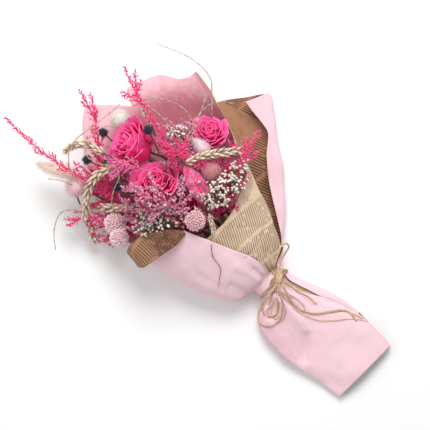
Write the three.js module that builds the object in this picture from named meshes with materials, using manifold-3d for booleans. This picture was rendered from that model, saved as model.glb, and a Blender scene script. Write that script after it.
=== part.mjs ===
// A dried flower bouquet in two double-sided papers, tied with jute twine and lying on its back.
// Millimetres, +Z up, +X from the tie towards the flower heads, the surface it lies on at z = 0.
import * as THREE from 'three';
import { mergeVertices } from 'three/addons/utils/BufferGeometryUtils.js';
import Module from 'manifold-3d';

const wasm = await Module();
wasm.setup();

// Driving dimensions
const PAPER = 0.8;
const LAYER_GAP = 0.4;
const CLEARANCE = 0.35;
const FLAT_ANGLE = 40;
const SIDE_HEIGHT = 0.45;
const NECK_END = 7;
const SHARED_END = 76;
const TWINE = 1.8;
const STEM = 5.2;
const FORK_X = 84;
const CENTRE_Y = -2;

// Where the origin lies, measured from the tie: under the middle of the bouquet
const ORIGIN = new THREE.Vector3(90.33, -1.73, 0);

const COLOURS = {
  pinkPaper: 0xf0c8d7,
  kraft: 0xd8b894,
  roseRed: 0xe81e6e,
  hotPink: 0xfa3c78,
  crimson: 0xb0104a,
  wheat: 0xbea582,
  cream: 0xf5e6dc,
  dusty: 0xd2969b,
  mauve: 0xc882aa,
  white: 0xf0ebd7,
  thistle: 0x2c2c40,
  sage: 0x6e786e,
  twig: 0xa09b87,
  straw: 0x9a8f62,
  twine: 0xc8aa87,
};

// Small helpers

function seeded(seed) {
  let state = seed;
  return () => {
    state = (state * 1664525 + 1013904223) % 4294967296;
    return state / 4294967296;
  };
}

function vec(values) {
  return new THREE.Vector3(values[0], values[1], values[2]);
}

function radians(degrees) {
  return (degrees * Math.PI) / 180;
}

function stepped(table, x) {
  const last = table.length - 1;
  if (x <= table[0][0]) {
    return table[0].slice(1);
  }
  if (x >= table[last][0]) {
    return table[last].slice(1);
  }
  const upper = table.findIndex((row) => row[0] >= x);
  const [low, high] = [table[upper - 1], table[upper]];
  const share = (x - low[0]) / (high[0] - low[0]);
  return low.slice(1).map((value, i) => value + (high[i + 1] - value) * share);
}

function frameAlong(direction) {
  const forward = direction.clone().normalize();
  const helper = Math.abs(forward.z) < 0.9 ? new THREE.Vector3(0, 0, 1) : new THREE.Vector3(1, 0, 0);
  const side = new THREE.Vector3().crossVectors(helper, forward).normalize();
  const up = new THREE.Vector3().crossVectors(forward, side);
  return { forward, side, up };
}

function onRing(frame, angle) {
  return frame.side.clone().multiplyScalar(Math.cos(angle)).addScaledVector(frame.up, Math.sin(angle));
}

// Solids

function solidOf(positions, triangles) {
  const kept = triangles.filter(([a, b, c]) => a !== b && b !== c && c !== a);
  return new wasm.Manifold(new wasm.Mesh({
    numProp: 3,
    vertProperties: Float32Array.from(positions),
    triVerts: Uint32Array.from(kept.flat()),
  }));
}

function solidFrom(geometry) {
  geometry.deleteAttribute('normal');
  geometry.deleteAttribute('uv');
  const welded = mergeVertices(geometry, 1e-4);
  const flat = Array.from(welded.index.array);
  const triangles = [];
  for (let i = 0; i < flat.length; i += 3) {
    triangles.push(flat.slice(i, i + 3));
  }
  return solidOf(welded.attributes.position.array, triangles);
}

function cordSolid(points, diameter, sides, step, grow = 0) {
  const curve = new THREE.CatmullRomCurve3(points.map((p) => p.clone()), false, 'centripetal');
  if (grow > 0) {
    const ends = [curve.points[0], curve.points.at(-1)];
    ends[0].addScaledVector(curve.getTangent(0), -grow);
    ends[1].addScaledVector(curve.getTangent(1), grow);
  }
  const ring = [];
  for (let i = 0; i < sides; i += 1) {
    const angle = (2 * Math.PI * i) / sides;
    ring.push(new THREE.Vector2(Math.cos(angle), Math.sin(angle)).multiplyScalar(diameter / 2 + grow));
  }
  const steps = Math.max(2, Math.round(curve.getLength() / step));
  return solidFrom(new THREE.ExtrudeGeometry(new THREE.Shape(ring), {
    extrudePath: curve,
    steps,
    bevelEnabled: false,
  }));
}

// A closed solid through rings of equal count, from a start point to an end point
function loftSolid(start, rings, end) {
  const sides = rings[0].length;
  const points = [start, ...rings.flat(), end];
  const last = points.length - 1;
  const top = last - sides;
  const triangles = [];
  for (let k = 0; k < sides; k += 1) {
    const next = (k + 1) % sides;
    triangles.push([0, 1 + next, 1 + k], [last, top + k, top + next]);
    for (let i = 0; i + 1 < rings.length; i += 1) {
      const here = 1 + i * sides;
      const above = here + sides;
      triangles.push([here + k, here + next, above + next], [here + k, above + next, above + k]);
    }
  }
  return solidOf(points.flatMap((p) => p.toArray()), triangles);
}

function ringAt(centre, frame, sides, radius, forward = () => 0) {
  return Array.from({ length: sides }, (_, k) => {
    const out = onRing(frame, (2 * Math.PI * k) / sides).multiplyScalar(radius(k));
    return centre.clone().add(out).addScaledVector(frame.forward, forward(k));
  });
}

function spindleSolid(root, tip, width, sides, grow = 0) {
  const frame = frameAlong(tip.clone().sub(root));
  const start = root.clone().addScaledVector(frame.forward, -grow);
  const end = tip.clone().addScaledVector(frame.forward, 2 * grow);
  const belly = start.clone().lerp(end, 0.42);
  return loftSolid(start, [ringAt(belly, frame, sides, () => width / 2 + grow)], end);
}

// A slim rod along a path with pairs of pointed spikelets pulled out of it, each pair across the last
function spikedRod(path, { stations, reach, lean = 0.9, thick, seed }, grow) {
  const curve = new THREE.CatmullRomCurve3(path);
  const draw = seeded(seed);
  const slim = () => thick / 2 + grow;
  const rings = [];
  for (let i = 0; i < stations; i += 1) {
    const low = i / stations;
    const high = (i + 0.5) / stations;
    const frame = frameAlong(curve.getTangentAt(high));
    const fading = reach * (1 - 0.45 * high);
    const pulls = [0, 1, 2, 3].map((k) => (k % 2 === i % 2 ? fading * (0.7 + 0.6 * draw()) : 0));
    rings.push(ringAt(curve.getPointAt(low), frameAlong(curve.getTangentAt(low)), 4, slim));
    rings.push(ringAt(
      curve.getPointAt(high),
      frame,
      4,
      (k) => (pulls[k] > 0 ? pulls[k] + 2 * grow : slim()),
      (k) => pulls[k] * lean + (pulls[k] > 0 ? grow : 0),
    ));
  }
  const start = curve.getPointAt(0).addScaledVector(curve.getTangentAt(0), -1 - grow);
  const end = curve.getPointAt(1).addScaledVector(curve.getTangentAt(1), 0.6 * reach + grow);
  return loftSolid(start, rings, end);
}

function lumpSolid(centre, radii, axis, detail, grow = 0) {
  const frame = frameAlong(axis);
  const matrix = new THREE.Matrix4().makeBasis(
    frame.forward.clone().multiplyScalar(radii[0] + grow),
    frame.side.clone().multiplyScalar(radii[1] + grow),
    frame.up.clone().multiplyScalar(radii[1] + grow),
  );
  matrix.setPosition(centre);
  return solidFrom(new THREE.IcosahedronGeometry(1, detail).applyMatrix4(matrix));
}

// A grid of points on a surface, thickened by the same amount on both faces and closed round its edge
function sheetSolid(grid, thickness) {
  const rows = grid.length;
  const columns = grid[0].length;
  const faces = [[], []];
  for (let i = 0; i < rows; i += 1) {
    for (let j = 0; j < columns; j += 1) {
      const along = grid[Math.min(i + 1, rows - 1)][j].clone().sub(grid[Math.max(i - 1, 0)][j]);
      const across = grid[i][Math.min(j + 1, columns - 1)].clone().sub(grid[i][Math.max(j - 1, 0)]);
      const normal = along.cross(across).normalize();
      faces[0].push(grid[i][j].clone().addScaledVector(normal, thickness / 2));
      faces[1].push(grid[i][j].clone().addScaledVector(normal, -thickness / 2));
    }
  }
  const count = rows * columns;
  const at = (i, j) => i * columns + j;
  const triangles = [];
  for (let i = 0; i + 1 < rows; i += 1) {
    for (let j = 0; j + 1 < columns; j += 1) {
      const [a, b, c, d] = [at(i, j), at(i + 1, j), at(i + 1, j + 1), at(i, j + 1)];
      triangles.push([a, b, c], [a, c, d]);
      triangles.push([count + a, count + c, count + b], [count + a, count + d, count + c]);
    }
  }
  const edge = [];
  for (let i = 0; i + 1 < rows; i += 1) {
    edge.push(at(i, 0));
  }
  for (let j = 0; j + 1 < columns; j += 1) {
    edge.push(at(rows - 1, j));
  }
  for (let i = rows - 1; i > 0; i -= 1) {
    edge.push(at(i, columns - 1));
  }
  for (let j = columns - 1; j > 0; j -= 1) {
    edge.push(at(0, j));
  }
  edge.forEach((here, i) => {
    const next = edge[(i + 1) % edge.length];
    triangles.push([here, count + here, count + next], [here, count + next, next]);
  });
  return solidOf(faces.flat().flatMap((p) => p.toArray()), triangles);
}

// The same grid with its border rows and columns pushed outwards
function widened(grid, margin) {
  const wide = grid.map((row) => row.map((point) => point.clone()));
  const push = (edge, inner) => edge.addScaledVector(edge.clone().sub(inner).normalize(), margin);
  wide.forEach((row, i) => {
    push(row[0], grid[i][1]);
    push(row.at(-1), grid[i].at(-2));
  });
  wide[0].forEach((point, j) => push(point, grid[1][j]));
  wide.at(-1).forEach((point, j) => push(point, grid.at(-2)[j]));
  return wide;
}

function joined(solids) {
  return solids.reduce((whole, next) => whole.add(next));
}

// The wrap: across any station the papers follow one closed outline with a flat underside.
// Each station holds x, the right edge, the left edge and the height of the outer paper there.
const STATIONS = [
  [-130, -43, 32, 10],
  [-95, -44, 38, 14],
  [-57, -39, 44, 20],
  [-30, -28, 42, 24],
  [-14, -22, 33, 26],
  [-NECK_END, -20, 17, 26],
  [NECK_END, -20, 17, 26],
  [12, -25, 37, 33],
  [22, -36, 47, 40],
  [35, -43, 53, 47],
  [56, -53, 62, 54],
  [SHARED_END, -60, 67, 62],
  [120, -76, 77, 74],
  [205, -105, 95, 88],
  [260, -122, 106, 96],
];

const STATION_ROWS = STATIONS.map((row) => row[0]).filter((x) => x <= SHARED_END);

// Angles run from 0 under the middle to 110 at the left edge and 180 on top, with the right side negative
function outline(angle) {
  const turn = Math.abs(angle);
  const beyond = turn > 180;
  const folded = beyond ? 360 - turn : turn;
  const sign = (angle < 0) === beyond ? 1 : -1;
  if (folded <= FLAT_ANGLE) {
    return [(sign * 0.62 * folded) / FLAT_ANGLE, 0];
  }
  const swing = radians(((folded - FLAT_ANGLE) / (180 - FLAT_ANGLE)) * 180);
  if (swing < Math.PI / 2) {
    return [sign * (0.62 + 0.38 * Math.sin(swing)), SIDE_HEIGHT * (1 - Math.cos(swing))];
  }
  return [sign * Math.sin(swing), SIDE_HEIGHT - (1 - SIDE_HEIGHT) * Math.cos(swing)];
}

function onWrap(angle, x, inset, floor) {
  const [right, left, height] = stepped(STATIONS, x);
  const [across, up] = outline(angle);
  const reach = across > 0 ? left - inset - CENTRE_Y : CENTRE_Y - right - inset;
  return new THREE.Vector3(x, CENTRE_Y + across * reach, floor + up * (height - inset - floor));
}

// Height of the outer paper's upper face over a point, in front of the tie or behind it
function wrapTop(x, y) {
  const [right, left, height] = stepped(STATIONS, x);
  const reach = y > CENTRE_Y ? left - CENTRE_Y : CENTRE_Y - right;
  const across = Math.min(1, Math.abs(y - CENTRE_Y) / reach);
  return height * (SIDE_HEIGHT + (1 - SIDE_HEIGHT) * Math.sqrt(1 - across * across));
}

// Inner paper: pink inside, kraft outside; its right side is folded over the front as a cone.
// Each column holds an angle and how far along x the paper reaches there.
const INNER_COLUMNS = [
  [85, 134],
  [70, 158],
  [55, 184],
  [40, 207],
  [22, 236],
  [5, 260],
  [-15, 226],
  [-20, 243],
  [-40, 229],
  [-55, 213],
  [-70, 206],
  [-85, 205],
  [-100, 172],
  [-115, 132],
  [-130, 96],
  [-145, 88],
  [-160, 80],
  [-175, 77],
  [-190, 78],
  [-208, 80],
];
const INNER_TAIL = -122;
const UPPER_ROWS = [0.36, 0.7, 1];

function innerWrap(grow = 0) {
  const inset = (x) => 2 * LAYER_GAP + PAPER + 0.016 * Math.max(0, -14 - x);
  const floor = PAPER * 1.5 + LAYER_GAP;
  const tail = STATION_ROWS.map((x) => Math.max(x, INNER_TAIL));
  const grid = tail.map((x) => INNER_COLUMNS.map(([angle]) => onWrap(angle, x, inset(x), floor)));
  for (const share of UPPER_ROWS) {
    grid.push(INNER_COLUMNS.map(([angle, reach]) => (
      onWrap(angle, SHARED_END + (reach - SHARED_END) * share, inset(0), floor)
    )));
  }
  return sheetSolid(grid, PAPER + 2 * grow);
}

// Outer paper: kraft inside, pink outside; its left side is folded over the front as a flap with a
// turned-back cuff, and its right side spreads on the surface with its edge turned in as a hem.
const HEM_EDGE = [
  [NECK_END, -22, 0.5],
  [22, -41, 4],
  [41, -61, 11],
  [70, -87, 20],
  [100, -109, 17],
  [120, -124, 12],
  [136, -135, 17],
  [156, -140, 17],
];
const HEM_RISE = 0.06;
const HEM_FOLD = 9;
// Each hem column: its angle at the neck, share of the hem, height in the fold, and reach along x
const HEM_COLUMNS = [
  { angle: -140, over: 1, lift: 1.25, reach: 148 },
  { angle: -130, over: 0.55, lift: 1.2, reach: 143 },
  { angle: -115, over: 0.12, lift: 0.9, reach: 138 },
  { angle: -100, over: 0, lift: 0.45, reach: 134 },
  { angle: -85, over: 0.15, lift: 0.08, reach: 138 },
];
// Columns between the hem and the flat underside: angle, share of the way out, reach along x
const PANEL_COLUMNS = [
  { angle: -70, out: 0.7, reach: 152 },
  { angle: -55, out: 0.35, reach: 170 },
];
const BACK_COLUMNS = [
  { angle: -40, reach: 170 },
  { angle: -15, reach: 168 },
  { angle: 10, reach: 164 },
  { angle: 40, reach: 150 },
  { angle: 55, reach: 132 },
  { angle: 70, reach: 123 },
  { angle: 85, reach: 121, cuff: 5 },
  { angle: 100, reach: 122, cuff: 12 },
  { angle: 115, reach: 122, cuff: 16 },
  { angle: 130, reach: 119, cuff: 17 },
  { angle: 145, reach: 114, cuff: 16 },
];
// The last columns share out the rest of the flap up to its edge, which wanders over the top
const FLAP_COLUMNS = [
  { share: 0.34, reach: 109, cuff: 13 },
  { share: 0.67, reach: 103, cuff: 8 },
  { share: 1, reach: 98, cuff: 3 },
];
const FLAP_EDGE = [
  [-130, 232],
  [-95, 232],
  [-57, 222],
  [-30, 206],
  [-NECK_END, 193],
  [NECK_END, 190],
  [35, 182],
  [56, 175],
  [SHARED_END, 170],
  [100, 164],
];
const FLAP_LIFT = 1;
const CUFF_HEIGHT = 8;
const STRIP_TAIL = -84;
const OUTER_TAIL = -130;
const OUTER_ROWS = [0.3, 0.6, 1];

function hemPoint(column, x) {
  const slid = THREE.MathUtils.smoothstep(x, NECK_END, 17);
  const loop = onWrap(column.angle * (1 - slid) + Math.max(column.angle, -92) * slid, x, -slid, PAPER / 2);
  const away = THREE.MathUtils.smoothstep(x, 13, 35);
  const [edge, width] = stepped(HEM_EDGE, x);
  const foot = onWrap(-FLAT_ANGLE, x, 0, PAPER / 2);
  const rise = PAPER / 2 + HEM_RISE * Math.max(0, x - NECK_END);
  const fold = HEM_FOLD * Math.min(1, width / 8);
  const spread = new THREE.Vector3(x, edge + width * column.over, rise + fold * column.lift);
  if (column.out !== undefined) {
    spread.y = foot.y + (edge - foot.y) * column.out;
    spread.z = PAPER / 2 + (rise - PAPER / 2) * column.out * column.out;
  }
  return loop.lerp(spread, away);
}

function outerPoint(column, x) {
  if (column.over !== undefined || column.out !== undefined) {
    return hemPoint(column, x);
  }
  if (column.share === undefined) {
    return onWrap(column.angle, x, 0, PAPER / 2);
  }
  const last = BACK_COLUMNS.at(-1).angle;
  const [edge] = stepped(FLAP_EDGE, x);
  return onWrap(last + (edge - last) * column.share, x, -FLAP_LIFT * column.share, PAPER / 2);
}

function outerWrap(grow = 0) {
  const columns = [...HEM_COLUMNS, ...PANEL_COLUMNS, ...BACK_COLUMNS, ...FLAP_COLUMNS];
  const grid = STATION_ROWS.map((x) => columns.map((column) => {
    const short = column.over !== undefined && column.angle < -90 && x < -NECK_END;
    const scale = (STRIP_TAIL + NECK_END) / (OUTER_TAIL + NECK_END);
    return outerPoint(column, short ? -NECK_END + (x + NECK_END) * scale : x);
  }));
  for (const share of OUTER_ROWS) {
    grid.push(columns.map((column) => {
      const cuffShare = column.cuff ? 1 : 0.86;
      return outerPoint(column, SHARED_END + (column.reach - SHARED_END) * share * cuffShare);
    }));
  }
  const top = columns.map((column) => outerPoint(column, column.reach - 3));
  const middle = new THREE.Vector3(0, CENTRE_Y, 30);
  const turned = (column, i, along, out) => {
    const away = top[i].clone().sub(middle).setX(0).normalize();
    return outerPoint(column, column.reach).setX(column.reach + along).addScaledVector(away, out);
  };
  grid.push(columns.map((column, i) => {
    if (!column.cuff) {
      return outerPoint(column, SHARED_END + (column.reach - SHARED_END) * 0.93);
    }
    const share = Math.min(1, column.cuff / 12);
    return turned(column, i, 2 * share, CUFF_HEIGHT * 0.5 * share);
  }));
  grid.push(columns.map((column, i) => {
    if (!column.cuff) {
      return outerPoint(column, column.reach);
    }
    const share = Math.min(1, column.cuff / 12);
    return turned(column, i, -column.cuff, CUFF_HEIGHT * share);
  }));
  return sheetSolid(grid, PAPER + 2 * grow);
}

// Stems: a bundle gripped by the tie, which opens towards the heads and ends in the paper tail
const STEM_ROWS = [
  [5.3, [-10, -5.2, -0.4, 4.4]],
  [9.4, [-7.6, -2.8, 2]],
  [13.5, [-5.2, -0.4]],
];
const STEM_SLOTS = STEM_ROWS.flatMap(([z, row]) => row.map((y) => [y, z]));
const FORK_SPREAD = 3.3;
const TAIL_SPREAD = 1.9;
const STEM_CUT = -52;

function forkEnd([y, z]) {
  return new THREE.Vector3(FORK_X, CENTRE_Y + (y - CENTRE_Y) * FORK_SPREAD, 5 + (z - 5) * 3.6);
}

function stemPath([y, z], i) {
  const cutEnd = STEM_CUT - 7 * ((i * 5) % 4);
  const low = 5 + (z - 5) * 0.6;
  return [
    new THREE.Vector3(cutEnd, CENTRE_Y + (y - CENTRE_Y) * TAIL_SPREAD, low),
    new THREE.Vector3(-12, y, z),
    new THREE.Vector3(10, y, z),
    forkEnd([y, z]),
  ];
}

function stemBundle(grow = 0) {
  return joined(STEM_SLOTS.map((slot, i) => cordSolid(stemPath(slot, i), STEM, 5, 46, grow)));
}

// A stalk from a head down to the nearest stem of the bundle, bent to leave the head along its axis
function stalkPoints(base, axis) {
  const ends = STEM_SLOTS.map(forkEnd);
  ends.sort((a, b) => a.distanceTo(base) - b.distanceTo(base));
  const end = ends[0];
  const away = axis.clone().normalize().multiplyScalar(-0.3 * base.distanceTo(end));
  return [base.clone().addScaledVector(axis.clone().normalize(), 3), base.clone().add(away), end];
}

// Heads. Each builder returns a function of how much to grow, for the body and for what keeps clear of it.

function stalk(base, axis, diameter) {
  return (grow) => cordSolid(stalkPoints(base, axis), diameter, 3, 42, grow);
}

function petal(frame, centre, size, layer, angle, grow) {
  const grid = [];
  const radius = size * (0.24 + 0.76 * layer);
  const span = radians(70 - 14 * layer);
  const crown = size * (0.85 - 0.42 * layer);
  const foot = size * (-0.2 - 0.4 * layer);
  for (let i = 0; i <= 2; i += 1) {
    const up = i / 2;
    const row = [];
    for (let j = 0; j <= 3; j += 1) {
      const across = (2 * j) / 3 - 1;
      const width = 0.55 + 0.45 * Math.sin(Math.PI * (0.1 + 0.72 * up));
      const height = foot + (crown - foot - 0.18 * size * across * across * up) * up;
      const flare = 1 + (0.3 * layer - 0.12) * up * up;
      const reach = radius * (0.5 + 0.5 * Math.sqrt(up)) * flare;
      const turn = onRing(frame, angle + across * span * width).multiplyScalar(reach);
      row.push(centre.clone().add(turn).addScaledVector(frame.forward, height));
    }
    grid.push(row);
  }
  return sheetSolid(widened(grid, 1.5 * grow), 0.9 + 2.6 * grow);
}

function rose({ centre, axis, size, petals }) {
  const middle = vec(centre);
  const direction = vec(axis).normalize();
  const frame = frameAlong(direction);
  const base = middle.clone().addScaledVector(direction, -0.6 * size);
  const stem = stalk(base, direction, 3.2);
  const cup = middle.clone().addScaledVector(direction, -0.4 * size);
  const tip = middle.clone().addScaledVector(direction, 0.75 * size);
  const build = (grow) => joined([
    stem(grow),
    lumpSolid(cup, [0.4 * size, 0.62 * size], direction, 0, 1.3 * grow),
    spindleSolid(cup, tip, 0.3 * size, 5, grow),
    ...Array.from({ length: petals }, (_, k) => (
      petal(frame, middle, size, (k + 0.5) / petals, k * radians(137.5), grow)
    )),
  ]);
  return { body: () => build(0), shield: () => build(CLEARANCE), heart: middle };
}

// An ear of wheat: grains raised from a bent axis in staggered ranks, each ring of them pointing forwards
const GRAIN_RANKS = 6;

function wheat({ points, stations = 7, width = 11 }) {
  const path = points.map(vec);
  const curve = new THREE.CatmullRomCurve3(path);
  const stem = stalk(path[0], curve.getTangent(0), 2.2);
  const tail = curve.getPointAt(1).addScaledVector(curve.getTangentAt(1), 5);
  const lean = Math.min(3.4, (0.55 * curve.getLength()) / stations);
  const rings = [];
  for (let i = 0; i < stations; i += 1) {
    const swell = Math.sin(Math.PI * (0.2 + (0.68 * i) / stations));
    rings.push({ along: i / stations, narrow: 0.5 * swell, parity: i % 2 });
    rings.push({ along: (i + 0.62) / stations, wide: swell, parity: i % 2 });
  }
  const build = (grow) => {
    const layers = rings.map(({ along, narrow, wide, parity }) => {
      const isGrain = (k) => wide !== undefined && k % 2 === parity;
      const share = (k) => narrow ?? (isGrain(k) ? wide : 0.52 * wide);
      return ringAt(
        curve.getPointAt(along),
        frameAlong(curve.getTangentAt(along)),
        GRAIN_RANKS,
        (k) => (share(k) * width) / 2 + (isGrain(k) ? 2.8 : 2.2) * grow,
        (k) => (isGrain(k) ? lean + grow : 0),
      );
    });
    const start = path[0].clone().addScaledVector(curve.getTangentAt(0), -1.5 - grow);
    const end = tail.clone().addScaledVector(curve.getTangentAt(1), grow);
    return joined([stem(grow), loftSolid(start, layers, end)]);
  };
  return { body: () => build(0), shield: () => build(CLEARANCE), heart: curve.getPointAt(0.5) };
}

// A round or egg-shaped head: pointed bracts or tufts raised all over a ball, leaning towards its tip
function tuftedHead({ base, tip, width, reach, lean = 0.15, fine = 2, seed }) {
  const [foot, top] = [vec(base), vec(tip)];
  const axis = top.clone().sub(foot);
  const long = axis.length() / 2;
  const middle = foot.clone().lerp(top, 0.5);
  const frame = frameAlong(axis);
  const stem = stalk(foot, axis, 1.8);
  const build = (grow) => {
    const ball = new THREE.IcosahedronGeometry(1, fine);
    const corners = new THREE.IcosahedronGeometry(1, 0).attributes.position;
    const places = ball.attributes.position;
    const edge = corner(corners, 0).distanceTo(corner(corners, 1));
    const matrix = new THREE.Matrix4().makeBasis(frame.forward, frame.side, frame.up);
    for (let i = 0; i < places.count; i += 1) {
      const point = corner(places, i);
      const out = point.clone();
      const near = nearest(corners, point);
      const pointed = near < 0.01 || (fine > 1 && near > 0.6 * edge);
      const draw = seeded(seed + Math.round(1e3 * (point.x + 1) + 1e5 * (point.y + 1) + 77 * point.z));
      point.multiplyScalar(pointed ? 1 + reach * (0.7 + 0.6 * draw()) : 0.78);
      point.x += pointed ? lean : 0;
      point.multiply(new THREE.Vector3(long, width / 2, width / 2));
      point.addScaledVector(out, (pointed ? 2.8 : 2) * grow).applyMatrix4(matrix).add(middle);
      places.setXYZ(i, point.x, point.y, point.z);
    }
    return joined([stem(grow), solidFrom(ball)]);
  };
  return { body: () => build(0), shield: () => build(CLEARANCE), heart: middle };
}

function corner(attribute, i) {
  return new THREE.Vector3().fromBufferAttribute(attribute, i);
}

function nearest(corners, point) {
  let least = Infinity;
  for (let i = 0; i < corners.count; i += 1) {
    least = Math.min(least, corner(corners, i).distanceTo(point));
  }
  return least;
}

// A spray: a bent main stem and its side arms, all set with pointed spikelets, herringbone fashion
function spray({ arms, reach, pitch = 10, thick = 1.7, seed }) {
  const paths = arms.map((arm) => arm.map(vec));
  const main = new THREE.CatmullRomCurve3(paths[0]);
  const stem = stalk(paths[0][0], main.getTangent(0), thick);
  const build = (grow) => joined([
    stem(grow),
    ...paths.map((path, n) => {
      const stations = Math.round(new THREE.CatmullRomCurve3(path).getLength() / pitch);
      return spikedRod(path, { stations, reach, thick, seed: seed + n }, grow);
    }),
  ]);
  return { body: () => build(0), shield: () => build(CLEARANCE), heart: main.getPointAt(0.6) };
}

// A round flower on a fine twig of its own
function pinSolid(root, centre, size, grow) {
  const frame = frameAlong(centre.clone().sub(root));
  const at = (ahead) => centre.clone().addScaledVector(frame.forward, ahead);
  return loftSolid(root, [
    ringAt(at(-size * 0.45 - grow), frame, 4, () => 0.55 + grow),
    ringAt(centre, frame, 4, () => size / 2 + grow),
  ], at(size * 0.45 + grow));
}

// A loose cluster: fine twigs from one root, each ending in a small round flower
const HUB = 3.2;

function cluster({ root, middle, radii, florets, size, seed }) {
  const [foot, centre] = [vec(root), vec(middle)];
  const stem = stalk(foot, centre.clone().sub(foot), 1.8);
  const build = (grow) => {
    const draw = seeded(seed);
    const solids = [stem(grow)];
    solids.push(lumpSolid(foot, [HUB, HUB], new THREE.Vector3(0, 0, 1), 0, grow));
    for (let i = 0; i < florets; i += 1) {
      const angle = i * radians(137.5);
      const ring = Math.sqrt((i + 0.5) / florets);
      const target = centre.clone();
      target.x += radii[0] * ring * Math.cos(angle);
      target.y += radii[1] * ring * Math.sin(angle);
      target.z += radii[2] * (1 - ring) + 3 * (draw() - 0.5);
      solids.push(pinSolid(foot, target, size, grow));
    }
    return joined(solids);
  };
  return { body: () => build(0), shield: () => build(CLEARANCE), heart: centre };
}

// A curly twig: a thin bent rod of one thickness
function twig({ points, diameter = 1.3, sides = 3 }) {
  const path = points.map(vec);
  const build = (grow) => cordSolid(path, diameter, sides, 13, grow);
  return { body: () => build(0), shield: () => build(CLEARANCE), heart: path[path.length >> 1] };
}

// A fan of long strands from one root
function strandFan({ root, tips }) {
  const foot = vec(root);
  const stem = stalk(foot, vec(tips[0]).sub(foot), 2);
  const build = (grow) => joined([
    stem(grow),
    lumpSolid(foot, [HUB, HUB], new THREE.Vector3(0, 0, 1), 0, grow),
    ...tips.map((tip) => spindleSolid(foot, vec(tip), 2.4, 4, grow)),
  ]);
  return { body: () => build(0), shield: () => build(CLEARANCE), heart: foot };
}

// A pointed leaf arched along its length, with a midrib and side ribs standing up from it
function ribbedLeaf({ base, tip, width, arch }) {
  const [foot, end] = [vec(base), vec(tip)];
  const frame = frameAlong(end.clone().sub(foot));
  const at = (along, across) => {
    const half = (width / 2) * Math.sin(Math.PI * Math.min(1, 0.12 + 0.88 * along)) ** 0.8 + 0.5;
    const point = foot.clone().lerp(end, along).addScaledVector(frame.side, across * half);
    return point.addScaledVector(frame.up, arch * Math.sin(Math.PI * along) - 0.25 * half * across * across);
  };
  const stem = stalk(foot, end.clone().sub(foot), 2);
  const body = () => {
    const grid = [0, 0.25, 0.5, 0.75, 1].map((along) => [-1, 0, 1].map((across) => at(along, across)));
    const solids = [stem(0), sheetSolid(grid, 0.9), cordSolid([at(0, 0), at(0.5, 0), at(1, 0)], 1.8, 3, 12)];
    for (const along of [0.25, 0.6]) {
      for (const side of [-1, 1]) {
        solids.push(spindleSolid(at(along, 0), at(along + 0.14, 0.8 * side), 1.8, 3));
      }
    }
    return joined(solids);
  };
  const shield = () => joined([
    stem(CLEARANCE),
    lumpSolid(at(0.5, 0), [foot.distanceTo(end) / 2 + 1, width / 2 + 1], end.clone().sub(foot), 1, 0.5),
  ]);
  return { body, shield, heart: at(0.5, 0) };
}

// Twine: the windings round the neck with their knot, and the loose loops and ends of the bow
const WINDINGS = 4;
const WINDING_LIFT = 0.3;

function neckRing(x, lift) {
  const ring = [];
  for (let angle = -150; angle <= 180; angle += 30) {
    const point = onWrap(angle, x, -lift, PAPER / 2);
    ring.push(point);
  }
  return ring;
}

const KNOT = new THREE.Vector3(0, -9, 26);

function twineBinding() {
  const radius = TWINE / 2;
  const spread = TWINE * 0.92;
  const low = PAPER / 2 + FLAP_LIFT + WINDING_LIFT;
  const profile = [];
  const first = -((WINDINGS - 1) * spread) / 2;
  profile.push([first - radius, low]);
  for (let i = 0; i < WINDINGS; i += 1) {
    profile.push([first + i * spread, low + TWINE]);
    if (i + 1 < WINDINGS) {
      profile.push([first + (i + 0.5) * spread, low + TWINE * 0.72]);
    }
  }
  profile.push([-first + radius, low]);
  const rings = profile.map(([x, lift]) => neckRing(x, lift));
  const count = rings[0].length;
  const points = rings.flat();
  const triangles = [];
  for (let i = 0; i < rings.length; i += 1) {
    for (let j = 0; j < count; j += 1) {
      const [up, over] = [(i + 1) % rings.length, (j + 1) % count];
      const [a, b, c, d] = [i * count + j, up * count + j, up * count + over, i * count + over];
      triangles.push([a, c, b], [a, d, c]);
    }
  }
  const band = solidOf(points.flatMap((p) => p.toArray()), triangles);
  const knot = lumpSolid(KNOT.clone().setZ(KNOT.z + 2.6), [4.2, 3], new THREE.Vector3(0.4, 1, 0), 0);
  return joined([band, knot]);
}

// Routes of the loose twine in plan, with a lift over the paper; each starts beside the knot
const TWINE_ROUTES = {
  twine_loop_long: [
    [-5, -2, 4.6],
    [-7, 12, 4.2],
    [-9, 25, 3],
    [-14, 33, 2.4],
    [-22, 36, 2.2],
    [-29, 31, 2],
    [-31, 20, 1.6],
    [-24, 9, 1.5],
    [-14, 1, 2.6],
    [-9, -3, 3.2],
  ],
  twine_loop_short: [
    [-8, 5, 1.7],
    [-12, 15, 1.4],
    [-16, 22, 1.3],
    [-22, 24, 1.3],
    [-25, 19, 1.3],
    [-21, 13, 1.3],
    [-13, 6, 1.3],
  ],
  twine_loop_up: [
    [1.5, -13.5, 2.6],
    [8, -20, 5.2],
    [12, -31, 9],
    [14, -38, 12],
    [18, -39, 14],
    [20, -33, 13],
    [17, -25, 10],
    [12, -17, 8],
  ],
  twine_end_long: [
    [-7, -8, 4.4],
    [-16, -5, 2.3],
    [-27, -2, 1.3],
    [-39, -2, 1.3],
    [-50, -8, 1.3],
    [-60, -19, 1.3],
    [-68, -30, 1.3],
    [-76, -35, 1.5],
    [-87, -34, 1.5],
  ],
  twine_end_short: [
    [-6, -12, 3.8],
    [-16, -12, 1.8],
    [-26, -14, 1.3],
    [-36, -17, 1.3],
    [-46, -17, 1.3],
  ],
};

function twineRoute(route) {
  return route.map(([x, y, lift]) => new THREE.Vector3(x, y, wrapTop(x, y) + lift + TWINE / 2));
}

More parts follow.
